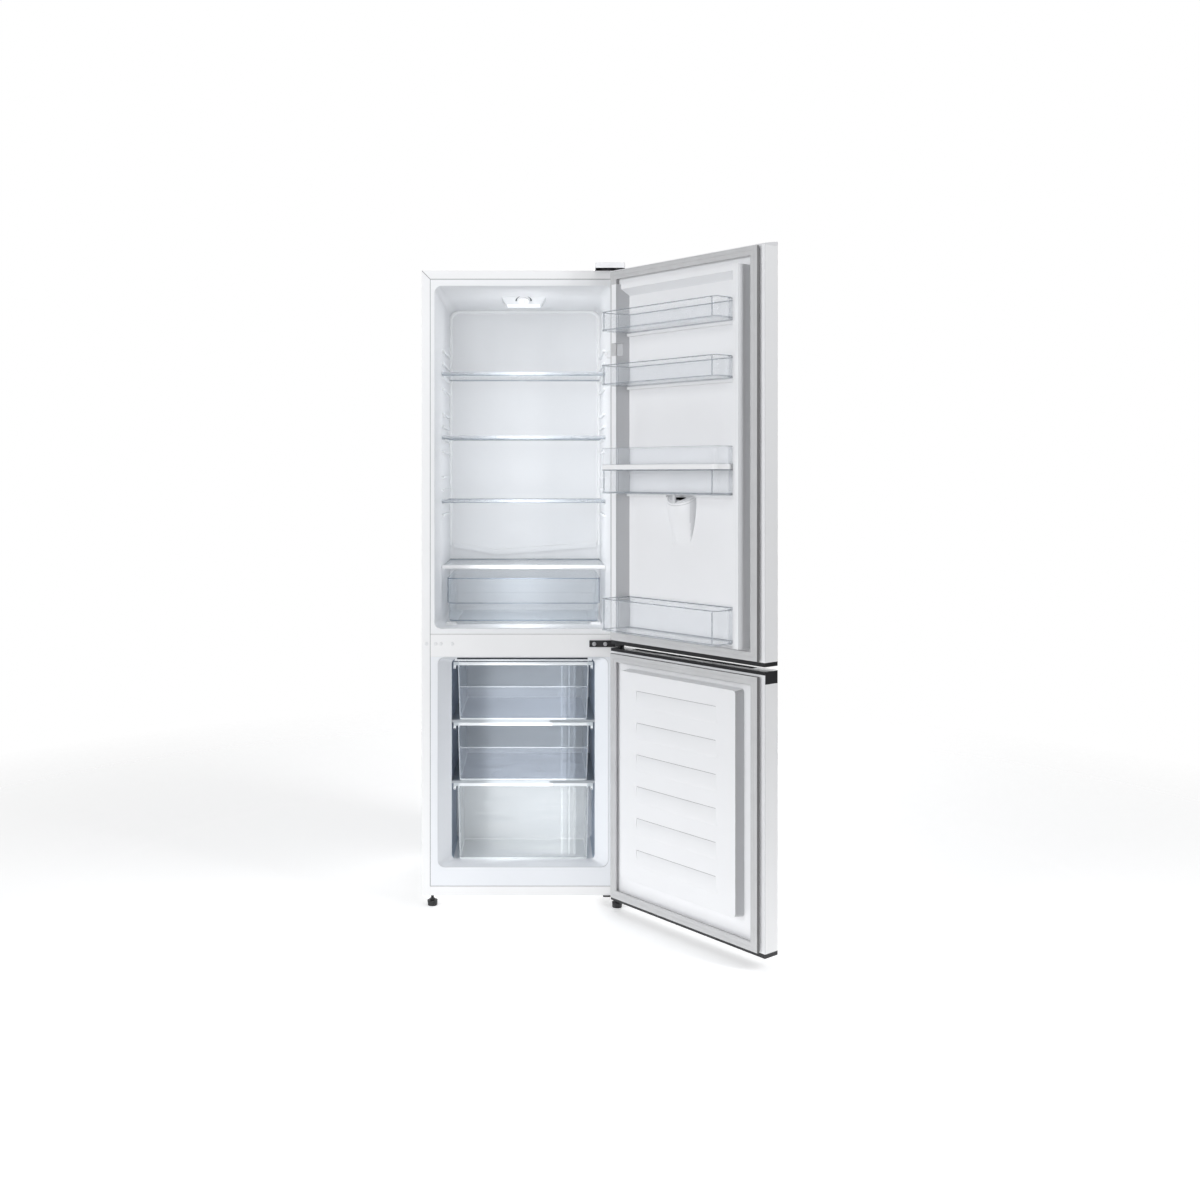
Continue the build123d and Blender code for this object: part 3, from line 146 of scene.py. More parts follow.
class Finish:
    """A material built from nodes around one shader."""

    def __init__(self, name, colour, roughness, **constants):
        self.material = bpy.data.materials.new(name)
        self.material.use_nodes = True
        self.tree = self.material.node_tree
        self.shader = self.tree.nodes["Principled BSDF"]
        self.colour = colour
        self.set("Base Color", (*colour, 1))
        self.set("Roughness", roughness)
        for socket, value in constants.items():
            self.set(socket.replace("_", " "), value)
        coordinates = self.tree.nodes.new("ShaderNodeTexCoord")
        self.place = Signal(self, coordinates.outputs["Object"])

    def set(self, socket, value):
        """A link or a constant on one of the shader's sockets."""
        if isinstance(value, Signal):
            self.tree.links.new(value.socket, self.shader.inputs[socket])
        else:
            self.shader.inputs[socket].default_value = value

    def node(self, kind, settings=None, inputs=None, output=0):
        """A node with its settings, then the values or links of its sockets."""
        made = self.tree.nodes.new(kind)
        for setting, value in (settings or {}).items():
            if setting == "stops":
                self.set_stops(made.color_ramp, value)
            else:
                setattr(made, setting, value)
        for socket, value in (inputs or {}).items():
            if isinstance(value, Signal):
                self.tree.links.new(value.socket, made.inputs[socket])
            else:
                made.inputs[socket].default_value = value
        return Signal(self, made.outputs[output])

    @staticmethod
    def set_stops(ramp, stops):
        """Grey levels at places along a colour ramp."""
        while len(ramp.elements) < len(stops):
            ramp.elements.new(1.0)
        for element, (place, level) in zip(ramp.elements, stops):
            element.position = place
            element.color = (level, level, level, 1)

    def stretched(self, scale):
        """The object's own coordinates, stretched along each axis."""
        return self.node("ShaderNodeMapping", inputs={"Vector": self.place, "Scale": scale})

    def noise(self, size, detail=2.0, stretch=(1, 1, 1)):
        """Cloudy noise with grains of a size in millimetres."""
        scale = tuple(s / (size * MM) for s in stretch)
        return self.node("ShaderNodeTexNoise", inputs={
            "Vector": self.stretched(scale), "Scale": 1.0, "Detail": detail})

    def ramp(self, signal, *stops):
        """A grey level that follows a signal through stops of place and level."""
        return self.node("ShaderNodeValToRGB", {"stops": stops}, {0: signal})

    def blend(self, mask, first, second):
        """A colour between two, by a mask."""
        return self.node("ShaderNodeMix", {"data_type": "RGBA"}, {
            0: mask, 6: (*first, 1), 7: (*second, 1)}, output=2)

    def relief(self, height, depth):
        """A bump of a depth in millimetres."""
        self.set("Normal", self.node("ShaderNodeBump", inputs={
            "Height": height, "Distance": depth * MM, "Strength": 1.0}))

    def mottled(self, size, spread, stretch=(1, 1, 1)):
        """Base colour that drifts a little lighter and darker over the surface."""
        light = tuple(min(1.0, c * (1 + spread)) for c in self.colour)
        dark = tuple(c * (1 - spread) for c in self.colour)
        cloud = self.noise(size, 3.0, stretch)
        self.set("Base Color", self.blend(self.ramp(cloud, (0.3, 0.0), (0.7, 1.0)), dark, light))

    def uneven_gloss(self, size, low, high):
        """Roughness that drifts between two values."""
        cloud = self.noise(size, 2.0)
        self.set("Roughness", cloud * (high - low) + low)


def painted_steel(name, colour, gloss=(0.30, 0.33), peel=0.006):
    """Baked enamel: even colour with a fine orange peel."""
    finish = Finish(name, colour, gloss[0], Coat_Weight=0.25, Coat_Roughness=0.12)
    finish.mottled(180, 0.005)
    finish.uneven_gloss(90, *gloss)
    finish.relief(finish.noise(1.6, 1.0), peel)
    return finish.material


def moulded_plastic(name, colour, gloss=(0.32, 0.38), grain=0.008, size=1.1):
    """Injection-moulded or vacuum-formed plastic with a fine spark-eroded grain."""
    finish = Finish(name, colour, gloss[0])
    finish.mottled(140, 0.006)
    finish.uneven_gloss(60, *gloss)
    finish.relief(finish.noise(size, 2.0), grain)
    return finish.material


def clear_plastic(name, colour, thin, thick, gloss=0.08, ribs=0.0, wave=0.01, glow=0.0):
    """Transparent plastic: faint face on, denser where it is seen edge on.

    It has level ribs of a depth in millimetres, or else a wave of one."""
    finish = Finish(name, colour, gloss)
    facing = finish.node("ShaderNodeLayerWeight", inputs={"Blend": 0.35}, output=1)
    cloud = finish.noise(45, 2.0, (1, 1, 3))
    level = (0.02, 0.02, 1)
    if ribs:
        finish.mottled(3.5, 0.13, level)
    else:
        finish.mottled(60, 0.04, (0.4, 0.4, 2.0))
    density = finish.ramp(facing, (0.0, 0.0), (1.0, 1.0)) * (thick - thin) + thin
    finish.set("Alpha", density + (cloud - 0.5) * (0.25 * thin))
    if ribs:
        finish.relief(finish.noise(4.0, 0.0, level), ribs)
    else:
        finish.relief(finish.noise(60, 1.0), wave)
    if glow:
        # painted light: a faint glow in place of the light that the edges of thick clear walls
        # gather
        finish.set("Emission Color", (*colour, 1))
        finish.set("Emission Strength", glow)
    finish.material.blend_method = "BLEND"
    return finish.material


def soft_seal(name, colour):
    """Soft vinyl of the door seals, with a faint mottle of tone."""
    finish = Finish(name, colour, 0.45)
    finish.mottled(40, 0.03)
    finish.uneven_gloss(25, 0.4, 0.55)
    finish.relief(finish.noise(0.9, 2.0), 0.01)
    return finish.material


def black_coating(name, colour, gloss=(0.35, 0.5)):
    """Black powder coat or moulded black plastic with a fine texture."""
    finish = Finish(name, colour, gloss[0])
    finish.mottled(30, 0.15)
    finish.uneven_gloss(20, *gloss)
    finish.relief(finish.noise(0.7, 2.0), 0.06)
    return finish.material


def bright_metal(name, colour, roughness, streak):
    """Plated, drawn or rolled metal, with streaks along one axis."""
    finish = Finish(name, colour, roughness, Metallic=1.0)
    finish.mottled(20, 0.05, streak)
    fine = finish.noise(1.2, 2.0, streak)
    finish.set("Roughness", fine * 0.15 + roughness)
    finish.relief(fine, 0.02)
    return finish.material


def rolled_back_sheet(name):
    """Pre-painted grey sheet of the back, with faint rolling marks and scuffs."""
    finish = Finish(name, (0.62, 0.63, 0.65), 0.42)
    finish.mottled(220, 0.03, (1, 1, 0.3))
    finish.uneven_gloss(70, 0.36, 0.52)
    finish.relief(finish.noise(5.0, 1.0, (1, 1, 0.05)), 0.04)
    return finish.material


def cast_foam(name):
    """Cut foam: pale yellow, with open cells."""
    finish = Finish(name, (0.78, 0.72, 0.5), 0.9)
    cells = finish.node("ShaderNodeTexVoronoi", inputs={
        "Vector": finish.stretched((1, 1, 1)), "Scale": 900.0})
    finish.mottled(25, 0.08)
    finish.relief(cells, 0.3)
    return finish.material


def lit_lens(name):
    """Ribbed milky lens over the lamp."""
    finish = Finish(name, (0.93, 0.95, 0.97), 0.3, Emission_Strength=0.5)
    glow = finish.noise(14, 1.0)
    finish.set("Emission Color", finish.blend(glow, (0.86, 0.92, 1.0), (1.0, 1.0, 1.0)))
    finish.mottled(10, 0.02)
    finish.relief(finish.noise(2.0, 0.0, (1, 0.02, 1)), 0.3)
    return finish.material


ENAMEL = painted_steel("white enamel", (0.90, 0.90, 0.903))
LINER = moulded_plastic("fridge liner plastic", (0.875, 0.882, 0.893))
# whiter than the liner: a painted highlight along the back wall's border
LINER_BEAD_HIGHLIGHT = moulded_plastic("liner bead", (0.96, 0.965, 0.97), (0.2, 0.3))
DOOR_LINER = moulded_plastic("door liner plastic", (0.88, 0.883, 0.895))
# a darker copy of the door liner for the lower door: painted shade
LOWER_LINER_SHADED = moulded_plastic("lower door liner plastic", (0.83, 0.833, 0.845))
# painted half shade on liner faces turned towards the doors' free edge; also the valve's own mid
# grey
MID_GREY_HALF_SHADE = moulded_plastic("door liner plastic, turned away", (0.70, 0.705, 0.72))
DOOR_SHADE = moulded_plastic("door liner plastic in shade", (0.58, 0.585, 0.60))
FREEZER = moulded_plastic("freezer liner plastic", (0.84, 0.86, 0.89))
FREEZER_SHADE = moulded_plastic("freezer side wall", (0.40, 0.47, 0.57))
WHITE_TRIM = moulded_plastic("white trim plastic", (0.90, 0.90, 0.91), (0.2, 0.3))
HOUSING = moulded_plastic("lamp housing plastic", (0.80, 0.81, 0.82))
CAP = moulded_plastic("door cap plastic", (0.78, 0.78, 0.79), (0.25, 0.36))
BALCONY = clear_plastic("balcony plastic", (0.84, 0.87, 0.91), 0.06, 0.30)
BALCONY_EDGE = clear_plastic("balcony edge", (0.36, 0.40, 0.44), 0.36, 0.58, 0.15)
DRAWER = clear_plastic("freezer drawer plastic", (0.64, 0.71, 0.79), 0.10, 0.4, 0.3, ribs=0.05)
DRAWER_LOW = clear_plastic("drawer lower panel", (0.50, 0.55, 0.64), 0.14, 0.35, 0.3, ribs=0.05)
DRAWER_PALE = clear_plastic("deep drawer plastic", (0.86, 0.91, 0.94), 0.14, 0.45, 0.3, ribs=0.05)
DRAWER_STEP = clear_plastic("drawer step line", (0.80, 0.85, 0.90), 0.35, 0.6, 0.2)
DRAWER_EDGE_GLOW = clear_plastic("drawer edge", (0.90, 0.93, 0.95), 0.75, 0.92, 0.5, glow=0.1)
DRAWER_BAR_GLOW = clear_plastic("drawer front bar", (0.90, 0.93, 0.95), 0.85, 0.95, 0.5, glow=0.1)
CRISPER = clear_plastic("crisper plastic", (0.62, 0.69, 0.76), 0.08, 0.28, 0.4)
CRISPER_EDGE = clear_plastic("crisper edge", (0.24, 0.29, 0.36), 0.6, 0.85, 0.15)
GLASS = clear_plastic("shelf glass", (0.64, 0.70, 0.75), 0.12, 0.30, 0.12, wave=0.001)
GLASS_EDGE = clear_plastic("shelf glass edge", (0.22, 0.27, 0.32), 0.6, 0.85, 0.05, wave=0.001)
SHELF_TRIM = clear_plastic("shelf trim", (0.72, 0.77, 0.82), 0.3, 0.55, 0.55, wave=0.001)
SEAL = soft_seal("door seal vinyl", (0.56, 0.56, 0.565))
SEAL_FLANK_SHADE = soft_seal("door seal fold", (0.13, 0.13, 0.13))
BLACK = black_coating("black powder coat", (0.018, 0.018, 0.02))
DARK_PLASTIC = black_coating("dark grey plastic", (0.05, 0.05, 0.053))
GREY_PLASTIC = black_coating("grey plastic", (0.30, 0.30, 0.31))
RUBBER = black_coating("black rubber", (0.02, 0.02, 0.02), (0.6, 0.8))
BACK_SHEET = rolled_back_sheet("grey back sheet")
FOAM = cast_foam("insulating foam")
LENS = lit_lens("lamp lens")
SCREW = bright_metal("zinc plated screw", (0.55, 0.55, 0.56), 0.3, (1, 1, 1))
COPPER = bright_metal("copper pipe", (0.72, 0.38, 0.25), 0.25, (1, 1, 0.1))
ALUMINIUM = bright_metal("rolled aluminium", (0.50, 0.53, 0.56), 0.58, (0.05, 1, 1))
POCKET_EDGE_SHADOW = moulded_plastic("pocket edge", (0.34, 0.34, 0.35))
LIP_SHADE = moulded_plastic("freezer lip", (0.60, 0.61, 0.63))
INK = black_coating("grey print", (0.10, 0.11, 0.12))
SEAM = black_coating("seam shadow", (0.10, 0.10, 0.105), (0.7, 0.8))
SHADOW = black_coating("dark hollow", (0.035, 0.04, 0.05), (0.7, 0.85))


# ---------------------------------------------------------------- making and shaping


def nothing_selected():
    """Object mode, with no object selected."""
    if bpy.context.object and bpy.context.object.mode != "OBJECT":
        bpy.ops.object.mode_set(mode="OBJECT")
    bpy.ops.object.select_all(action="DESELECT")


def take(piece):
    """Makes one piece the only one selected, and the active one."""
    nothing_selected()
    piece.select_set(True)
    bpy.context.view_layer.objects.active = piece
    return piece


def choose(piece, kind, test):
    """Selects in edit mode the vertices, edges or faces that pass a test."""
    take(piece)
    bpy.ops.object.mode_set(mode="EDIT")
    bpy.ops.mesh.select_mode(type={"verts": "VERT", "edges": "EDGE", "faces": "FACE"}[kind])
    bpy.ops.mesh.select_all(action="DESELECT")
    shape = bmesh.from_edit_mesh(piece.data)
    for item in getattr(shape, kind):
        if test(item):
            item.select_set(True)
    shape.select_flush_mode()
    bmesh.update_edit_mesh(piece.data)


def done(piece):
    """Back to object mode."""
    bpy.ops.object.mode_set(mode="OBJECT")
    return piece


def start(name):
    """Names the primitive that was just added and puts its place into its mesh."""
    piece = bpy.context.object
    piece.name = name
    piece.data.name = name
    bpy.ops.object.transform_apply(location=True, rotation=True, scale=True)
    return piece


def slab(name, x, y, z):
    """A block between two limits along each axis, in millimetres."""
    nothing_selected()
    middle = Vector(sum(side) / 2 * MM for side in (x, y, z))
    size = Vector((side[1] - side[0]) * MM for side in (x, y, z))
    bpy.ops.mesh.primitive_cube_add(size=1, location=middle, scale=size)
    return start(name)


def rod(name, place, radius, length, turn=(0, 0, 0), sides=32):
    """A round bar about its middle, in millimetres."""
    nothing_selected()
    bpy.ops.mesh.primitive_cylinder_add(
        vertices=sides, radius=radius * MM, depth=length * MM,
        location=Vector(place) * MM, rotation=turn)
    return start(name)


def rounded_edges(piece, width, segments=3, angle=30, edge_slot=-1):
    """Rounds the sharp edges. The rounding can take another of the piece's finishes."""
    take(piece)
    bevel = piece.modifiers.new("edges", "BEVEL")
    bevel.width = width * MM
    bevel.segments = segments
    bevel.limit_method = "ANGLE"
    bevel.angle_limit = radians(angle)
    bevel.material = edge_slot
    bpy.ops.object.modifier_apply(modifier=bevel.name)
    return piece


def smooth(piece, angle=35):
    """Smooth shading, except over edges sharper than an angle in degrees."""
    take(piece)
    bpy.ops.object.shade_smooth_by_angle(angle=radians(angle))
    return piece


def even_shading(piece):
    """Lets the broad faces lead the shading, so that they look flat up to their edges."""
    take(piece)
    even = piece.modifiers.new("even", "WEIGHTED_NORMAL")
    even.keep_sharp = True
    bpy.ops.object.modifier_apply(modifier=even.name)
    return piece


def outward(piece):
    """Merges doubles and turns the faces outwards."""
    choose(piece, "faces", lambda face: True)
    bpy.ops.mesh.remove_doubles(threshold=MERGE)
    bpy.ops.mesh.normals_make_consistent(inside=False)
    return done(piece)


def combined(piece, tool, operation):
    """Cuts a piece with another closed piece, which goes: DIFFERENCE or INTERSECT."""
    take(piece)
    cut = piece.modifiers.new("cut", "BOOLEAN")
    cut.operation = operation
    cut.solver = "EXACT"
    cut.object = tool
    bpy.ops.object.modifier_apply(modifier=cut.name)
    bpy.data.objects.remove(tool)
    return piece


def joined(name, pieces):
    """Several pieces as one."""
    nothing_selected()
    for piece in pieces:
        piece.select_set(True)
    bpy.context.view_layer.objects.active = pieces[0]
    bpy.ops.object.join()
    pieces[0].name = name
    return pieces[0]


def painted(piece, *finishes):
    """Gives a piece its finishes. The first is on all faces that have no other."""
    piece.data.materials.clear()
    for finish in finishes:
        piece.data.materials.append(finish)
    return piece


def placed(piece, where, body, slot, replaces=()):
    """Puts a piece that was made in cabinet or door measures into the frame."""
    piece.data.transform(where)
    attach(piece, body)
    if replaces:
        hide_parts(*replaces)
    return piece


def loop_sweep(name, x, z, corner, profile, segments=5):
    """A closed section carried round an upright rectangle, with rounded corners if wanted.

    The profile is a closed row of points, each an inset from the rectangle and a depth,
    which grows towards +Y."""
    nothing_selected()
    width, height = (x[1] - x[0]) * MM, (z[1] - z[0]) * MM
    bpy.ops.mesh.primitive_plane_add(size=1)
    bpy.context.object.scale = (width, height, 1)
    piece = start(name)
    bpy.ops.object.mode_set(mode="EDIT")
    bpy.ops.mesh.select_all(action="SELECT")
    if corner:
        bpy.ops.mesh.bevel(offset=corner * MM, segments=segments, affect="VERTICES")
        bpy.ops.mesh.select_all(action="SELECT")
    bpy.ops.mesh.delete(type="ONLY_FACE")
    bpy.ops.mesh.select_mode(type="EDGE")
    bpy.ops.mesh.select_all(action="SELECT")
    first_inset, first_depth = profile[0]
    scale = ((width - 2 * first_inset * MM) / width, (height - 2 * first_inset * MM) / height, 1)
    bpy.ops.transform.resize(value=scale, center_override=(0, 0, 0))
    bpy.ops.transform.translate(value=(0, 0, first_depth * MM))
    for (inset, depth), (next_inset, next_depth) in zip(profile, profile[1:]):
        bpy.ops.mesh.extrude_region_move(
            TRANSFORM_OT_translate={"value": (0, 0, (next_depth - depth) * MM)})
        now = (width - 2 * inset * MM, height - 2 * inset * MM)
        then = (width - 2 * next_inset * MM, height - 2 * next_inset * MM)
        bpy.ops.transform.resize(
            value=(then[0] / now[0], then[1] / now[1], 1), center_override=(0, 0, 0))
    bpy.ops.mesh.select_all(action="DESELECT")
    bpy.ops.mesh.select_non_manifold(extend=False)
    bpy.ops.mesh.bridge_edge_loops()
    done(piece)
    piece.data.transform(Matrix(((1, 0, 0, 0), (0, 0, 1, 0), (0, 1, 0, 0), (0, 0, 0, 1))))
    piece.data.transform(Matrix.Translation((sum(x) / 2 * MM, 0, sum(z) / 2 * MM)))
    return outward(piece)


def copy_of(node, name):
    """A merged copy of a CAD node, as a start for a finer piece."""
    piece = bpy.data.objects.new(name, frame["nodes"][node].data.copy())
    piece.data.name = name
    bpy.context.scene.collection.objects.link(piece)
    choose(piece, "faces", lambda face: True)
    bpy.ops.mesh.remove_doubles(threshold=MERGE)
    bpy.ops.mesh.dissolve_limited(angle_limit=radians(0.5))
    return done(piece)


def edge_faces(piece, slot, widest):
    """Gives the narrow level faces, such as the rims of thin walls, another of the finishes."""
    for face in piece.data.polygons:
        corners = [piece.data.vertices[v].co for v in face.vertices]
        around = sum((a - b).length for a, b in zip(corners, corners[1:] + corners[:1]))
        if 2 * face.area / around < widest * MM and abs(face.normal.z) > 0.7:
            face.material_index = slot


def refined(node, width, *finishes, segments=3, angle=30, rim=0):
    """A CAD node with rounded edges, which take the second finish where one is given.

    So do the level faces of walls that are thinner than the rim."""
    piece = copy_of(node, f"{node}_rounded")
    painted(piece, *finishes)
    if rim:
        edge_faces(piece, len(finishes) - 1, rim)
    rounded_edges(piece, width, segments, angle, len(finishes) - 1)
    even_shading(smooth(piece))
    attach(piece, frame["nodes"][node]["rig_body"])
    slot_of(node)
    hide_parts(node)
    return piece


def slot_of(node):
    """The material slot that the record gives a node."""
    return next(row["material_slot"] for row in frame["record"]["subparts"]
                if row["node"] == node)


def slice_of(node, name, where, x, y, z, finish, grow=0.25):
    """A slice of a clear piece, a touch thicker, where its edge gathers the light."""
    piece = copy_of(node, name)
    piece.data.transform(where.inverted())
    combined(piece, slab("within", x, y, z), "INTERSECT")
    choose(piece, "faces", lambda face: True)
    bpy.ops.transform.shrink_fatten(value=grow * MM)
    done(piece)
    placed(painted(piece, finish), where, frame["nodes"][node]["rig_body"], slot_of(node))
    for vert in piece.data.vertices:
        vert.co.y = max(vert.co.y, cad_box[0].y)


def dress(node, finish):
    """A better material on a CAD node whose shape is right."""
    painted(frame["nodes"][node], finish)


# ---------------------------------------------------------------- cabinet


def cabinet_pieces():
    """The shell, both liners, the hinges, the feet, and the works behind."""
    refined("cabinet_shell", 0.35, ENAMEL, segments=2)
    refined("fridge_liner", 1.5, LINER, segments=3, angle=40)
    freezer = refined("freezer_liner", 1.5, FREEZER, segments=3, angle=40)
    freezer.data.materials.append(FREEZER_SHADE)
    beside_drawers, behind_fronts = (180, 200), 36
    # the side walls beside the drawers take a darker blue finish: painted shade
    for face in freezer.data.polygons:
        at = CABINET.inverted() @ face.center / MM
        beside = beside_drawers[0] < abs(at.x) < beside_drawers[1]
        if abs(face.normal.x) > 0.7 and beside and at.y > behind_fronts:
            face.material_index = 1
    refined("centre_beam", 0.8, ENAMEL, segments=2)
    refined("lamp_housing", 1.0, HOUSING)
    refined("top_hinge_cover", 0.8, WHITE_TRIM)
    refined("base_tray", 0.3, ENAMEL, segments=2)
    for node, finish in (
        ("back_panel", BACK_SHEET), ("cabinet_insulation", FOAM), ("condenser", BLACK),
        ("evaporator", ALUMINIUM), ("lamp_lens", LENS), ("drip_tray", DARK_PLASTIC),
        ("compressor_mounts", RUBBER),
    ):
        dress(node, finish)
    for node in ("compressor", "terminal_box", "top_hinge", "middle_hinge", "bottom_hinge"):
        refined(node, 0.7, BLACK, segments=2)
    for side in ("left", "right"):
        refined(f"rear_roller_{side}", 0.5, DARK_PLASTIC, segments=2)
        refined(f"front_foot_{side}", 0.6, BLACK, segments=2)


def face_seams():
    """The dark joints between the folded shell, the liners and the beam, a dark strip of painted
    shadow under the beam, and a rail below it with a painted glow.
    """
    fold, low, beam, high = 252.1, 55.1, 739.1, 1702.9
    skin, side_half, corner, mitre_half = (-0.12, 0.5), 0.6, (263.4, 1714.4), (0.7, 15.8)
    lines = [slab("seam", (side * fold - side_half, side * fold + side_half), skin, (low, high))
             for side in (-1, 1)]
    for level, half in ((high, 0.75), (beam, 0.5), (low, 0.6)):
        lines.append(slab("seam", (-fold, fold), skin, (level - half, level + half)))
    for side in (-1, 1):
        wide, long = mitre_half
        mitre = slab("mitre", (-wide, wide), skin, (-long, long))
        mitre.data.transform(
            Matrix.Translation(Vector((side * corner[0], 0, corner[1])) * MM)
            @ Matrix.Rotation(side * radians(45), 4, "Y"))
        lines.append(mitre)
    seams = rounded_edges(joined("face_seams", lines), 0.2, 2)
    placed(painted(seams, SEAM), CABINET, "cabinet", "grey_seal")

    # a dark strip under the beam: painted shadow
    gap = rounded_edges(slab("beam_shadow_gap", (-180, 176), (8, 20), (669.4, 676.4)), 0.8)
    placed(painted(smooth(gap), SHADOW), CABINET, "cabinet", "black_plastic")
    # the liner's lip below the beam, with a painted glow
    rail = rounded_edges(slab("freezer_top_rail", (-188, 188), (33.2, 34.7), (661.5, 671)), 0.5)
    placed(painted(smooth(rail), DRAWER_BAR_GLOW), CABINET, "cabinet", "liner_plastic")


def back_wall_border():
    """The raised border that runs up both sides and over the top of the back wall."""
    section = ((0, 0), (0, -4.5), (1.5, -6.5), (6.0, -6.5), (7.5, -4.5), (8.5, 0))
    half, below, head, foot, corner, sunk = ROOM_HALF - 0.5, 800, 1671.5, 958.5, 26, 0.2
    border = loop_sweep("back_wall_border", (-half, half), (below, head), corner, section,
                        segments=8)
    choose(border, "faces", lambda face: True)
    bpy.ops.mesh.bisect(plane_co=(0, 0, foot * MM), plane_no=(0, 0, -1), clear_outer=True,
                        use_fill=True)
    outward(done(border))
    border.data.transform(Matrix.Translation((0, (ROOM_BACK - sunk) * MM, 0)))
    # the border's whiter finish is a painted highlight
    placed(painted(smooth(border, 50), LINER_BEAD_HIGHLIGHT), CABINET, "cabinet", "liner_plastic")


def machine_room_lining():
    """Folded sheet over the foam of the machine compartment."""
    half, front, roof, low, back, sheet = 258.4, 295.4, 289.4, 32.0, 493.0, 0.9
    walls = [
        slab("wall", (-half, half), (front, front + sheet), (low, roof)),
        slab("roof", (-half, half), (front, back), (roof - sheet, roof)),
        slab("left", (-half, -half + sheet), (front, back), (low, roof)),
        slab("right", (half - sheet, half), (front, back), (low, roof)),
    ]
    foam_back = (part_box("cabinet_insulation")[1].y - shell_low.y) / MM
    edge, lift = HALF - sheet, 0.05
    for side in (-1, 1):
        walls.append(slab("flange", sorted((side * (half - 1), side * edge)),
                          (foam_back + lift, foam_back + lift + sheet), (low, roof)))
    lining = rounded_edges(joined("machine_room_lining", walls), 0.3, 2)
    placed(painted(smooth(lining), BACK_SHEET), CABINET, "cabinet", "grey_steel")


def pipe(name, points, radius, bend):
    """A round copper pipe through points of the cabinet. A bend starts a way off its point."""
    nothing_selected()
    bpy.ops.curve.primitive_nurbs_path_add()
    route = bpy.context.object
    route.name = name
    spline = route.data.splines[0]
    path = []
    corners = [Vector(p) for p in points]
    for n, corner in enumerate(corners):
        if n in (0, len(corners) - 1):
            path.append(corner)
            continue
        for other in (corners[n - 1], corners[n + 1]):
            path.append(corner + (other - corner).normalized() * bend)
        path.insert(-1, corner)
    spline.points.add(len(path) - len(spline.points))
    for point, place in zip(spline.points, path):
        point.co = (*(place * MM), 1)
    spline.order_u = 3
    spline.use_endpoint_u = True
    spline.resolution_u = 8
    route.data.bevel_depth = radius * MM
    route.data.bevel_resolution = 5
    route.data.use_fill_caps = True
    bpy.ops.object.convert(target="MESH")
    piece = outward(start(name))
    placed(painted(smooth(piece, 50), COPPER), CABINET, "cabinet", "zinc_steel")


def machine_room_pipes():
    """Copper pipes around the compressor: suction, process stub, and the filter drier's two."""
    back, roof = 474, 296
    pipe("suction_pipe", ((-60, 440, 170), (-60, back, 170), (-60, back, 262),
                          (-168, back, 262), (-168, back, roof)), 3.2, 12)
    pipe("process_stub", ((-118, 434, 120), (-132, back, 120), (-132, back, 170)), 2.6, 8)
    x, y, middle = -222, 430, 190
    pipe("drier_inlet", ((-190, y, 120), (x, y, 120), (x, y, 140)), 2.4, 9)
    pipe("capillary_pipe", ((x, y, 240), (x, y, 268), (-236, y, 282), (-236, y, roof)), 1.4, 8)
    body = rod("filter_drier", (x, y, middle), 9, 74, sides=40)
    rounded_edges(body, 3.5, 4)
    ends = [rod("end", (x, y, middle + side * 46), 3.0, 24, sides=24) for side in (-1, 1)]
    drier = painted(smooth(joined("filter_drier", [body, *ends])), COPPER)
    placed(drier, CABINET, "cabinet", "zinc_steel")


def shelf_pieces():
    """Glass shelves in clear trims, the crisper's cover, and the crisper with its mould lines."""
    trim_front = (99, 104)
    for name in ("upper_shelf", "middle_shelf", "lower_shelf", "crisper_cover"):
        refined(f"{name}_glass", 0.7, GLASS, GLASS_EDGE, segments=2)
        refined(f"{name}_trim", 1.2, WHITE_TRIM if name == "crisper_cover" else SHELF_TRIM)
        low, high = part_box(f"{name}_glass")
        back, foot, head = (high.y - shell_low.y) / MM, low.z / MM, high.z / MM
        slice_of(f"{name}_glass", f"{name}_rear_line", CABINET, WHOLE, (back - 4, back + 1),
                 (foot - 1, head + 1), GLASS_EDGE, FAINT)
        if name != "crisper_cover":
            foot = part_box(f"{name}_trim")[0].z / MM
            slice_of(f"{name}_trim", f"{name}_front_line", CABINET, WHOLE, trim_front,
                     (foot - 1, foot + 1.6), GLASS_EDGE, FAINT)
    refined("crisper", 1.0, CRISPER, segments=2, angle=40)
    front, low, high = (98, 122), 765, 881
    for name, x, z in (
        ("rim", WHOLE, (high - 0.4, high + 3)), ("step", WHOLE, (811.6, 813.4)),
        ("foot", WHOLE, (low - 2, low + 0.4)), ("left", (-215, -211.4), (low, high)),
        ("right", (211.4, 215), (low, high)),
    ):
        slice_of("crisper", f"crisper_{name}", CABINET, x, front, z, CRISPER_EDGE, FAINT)


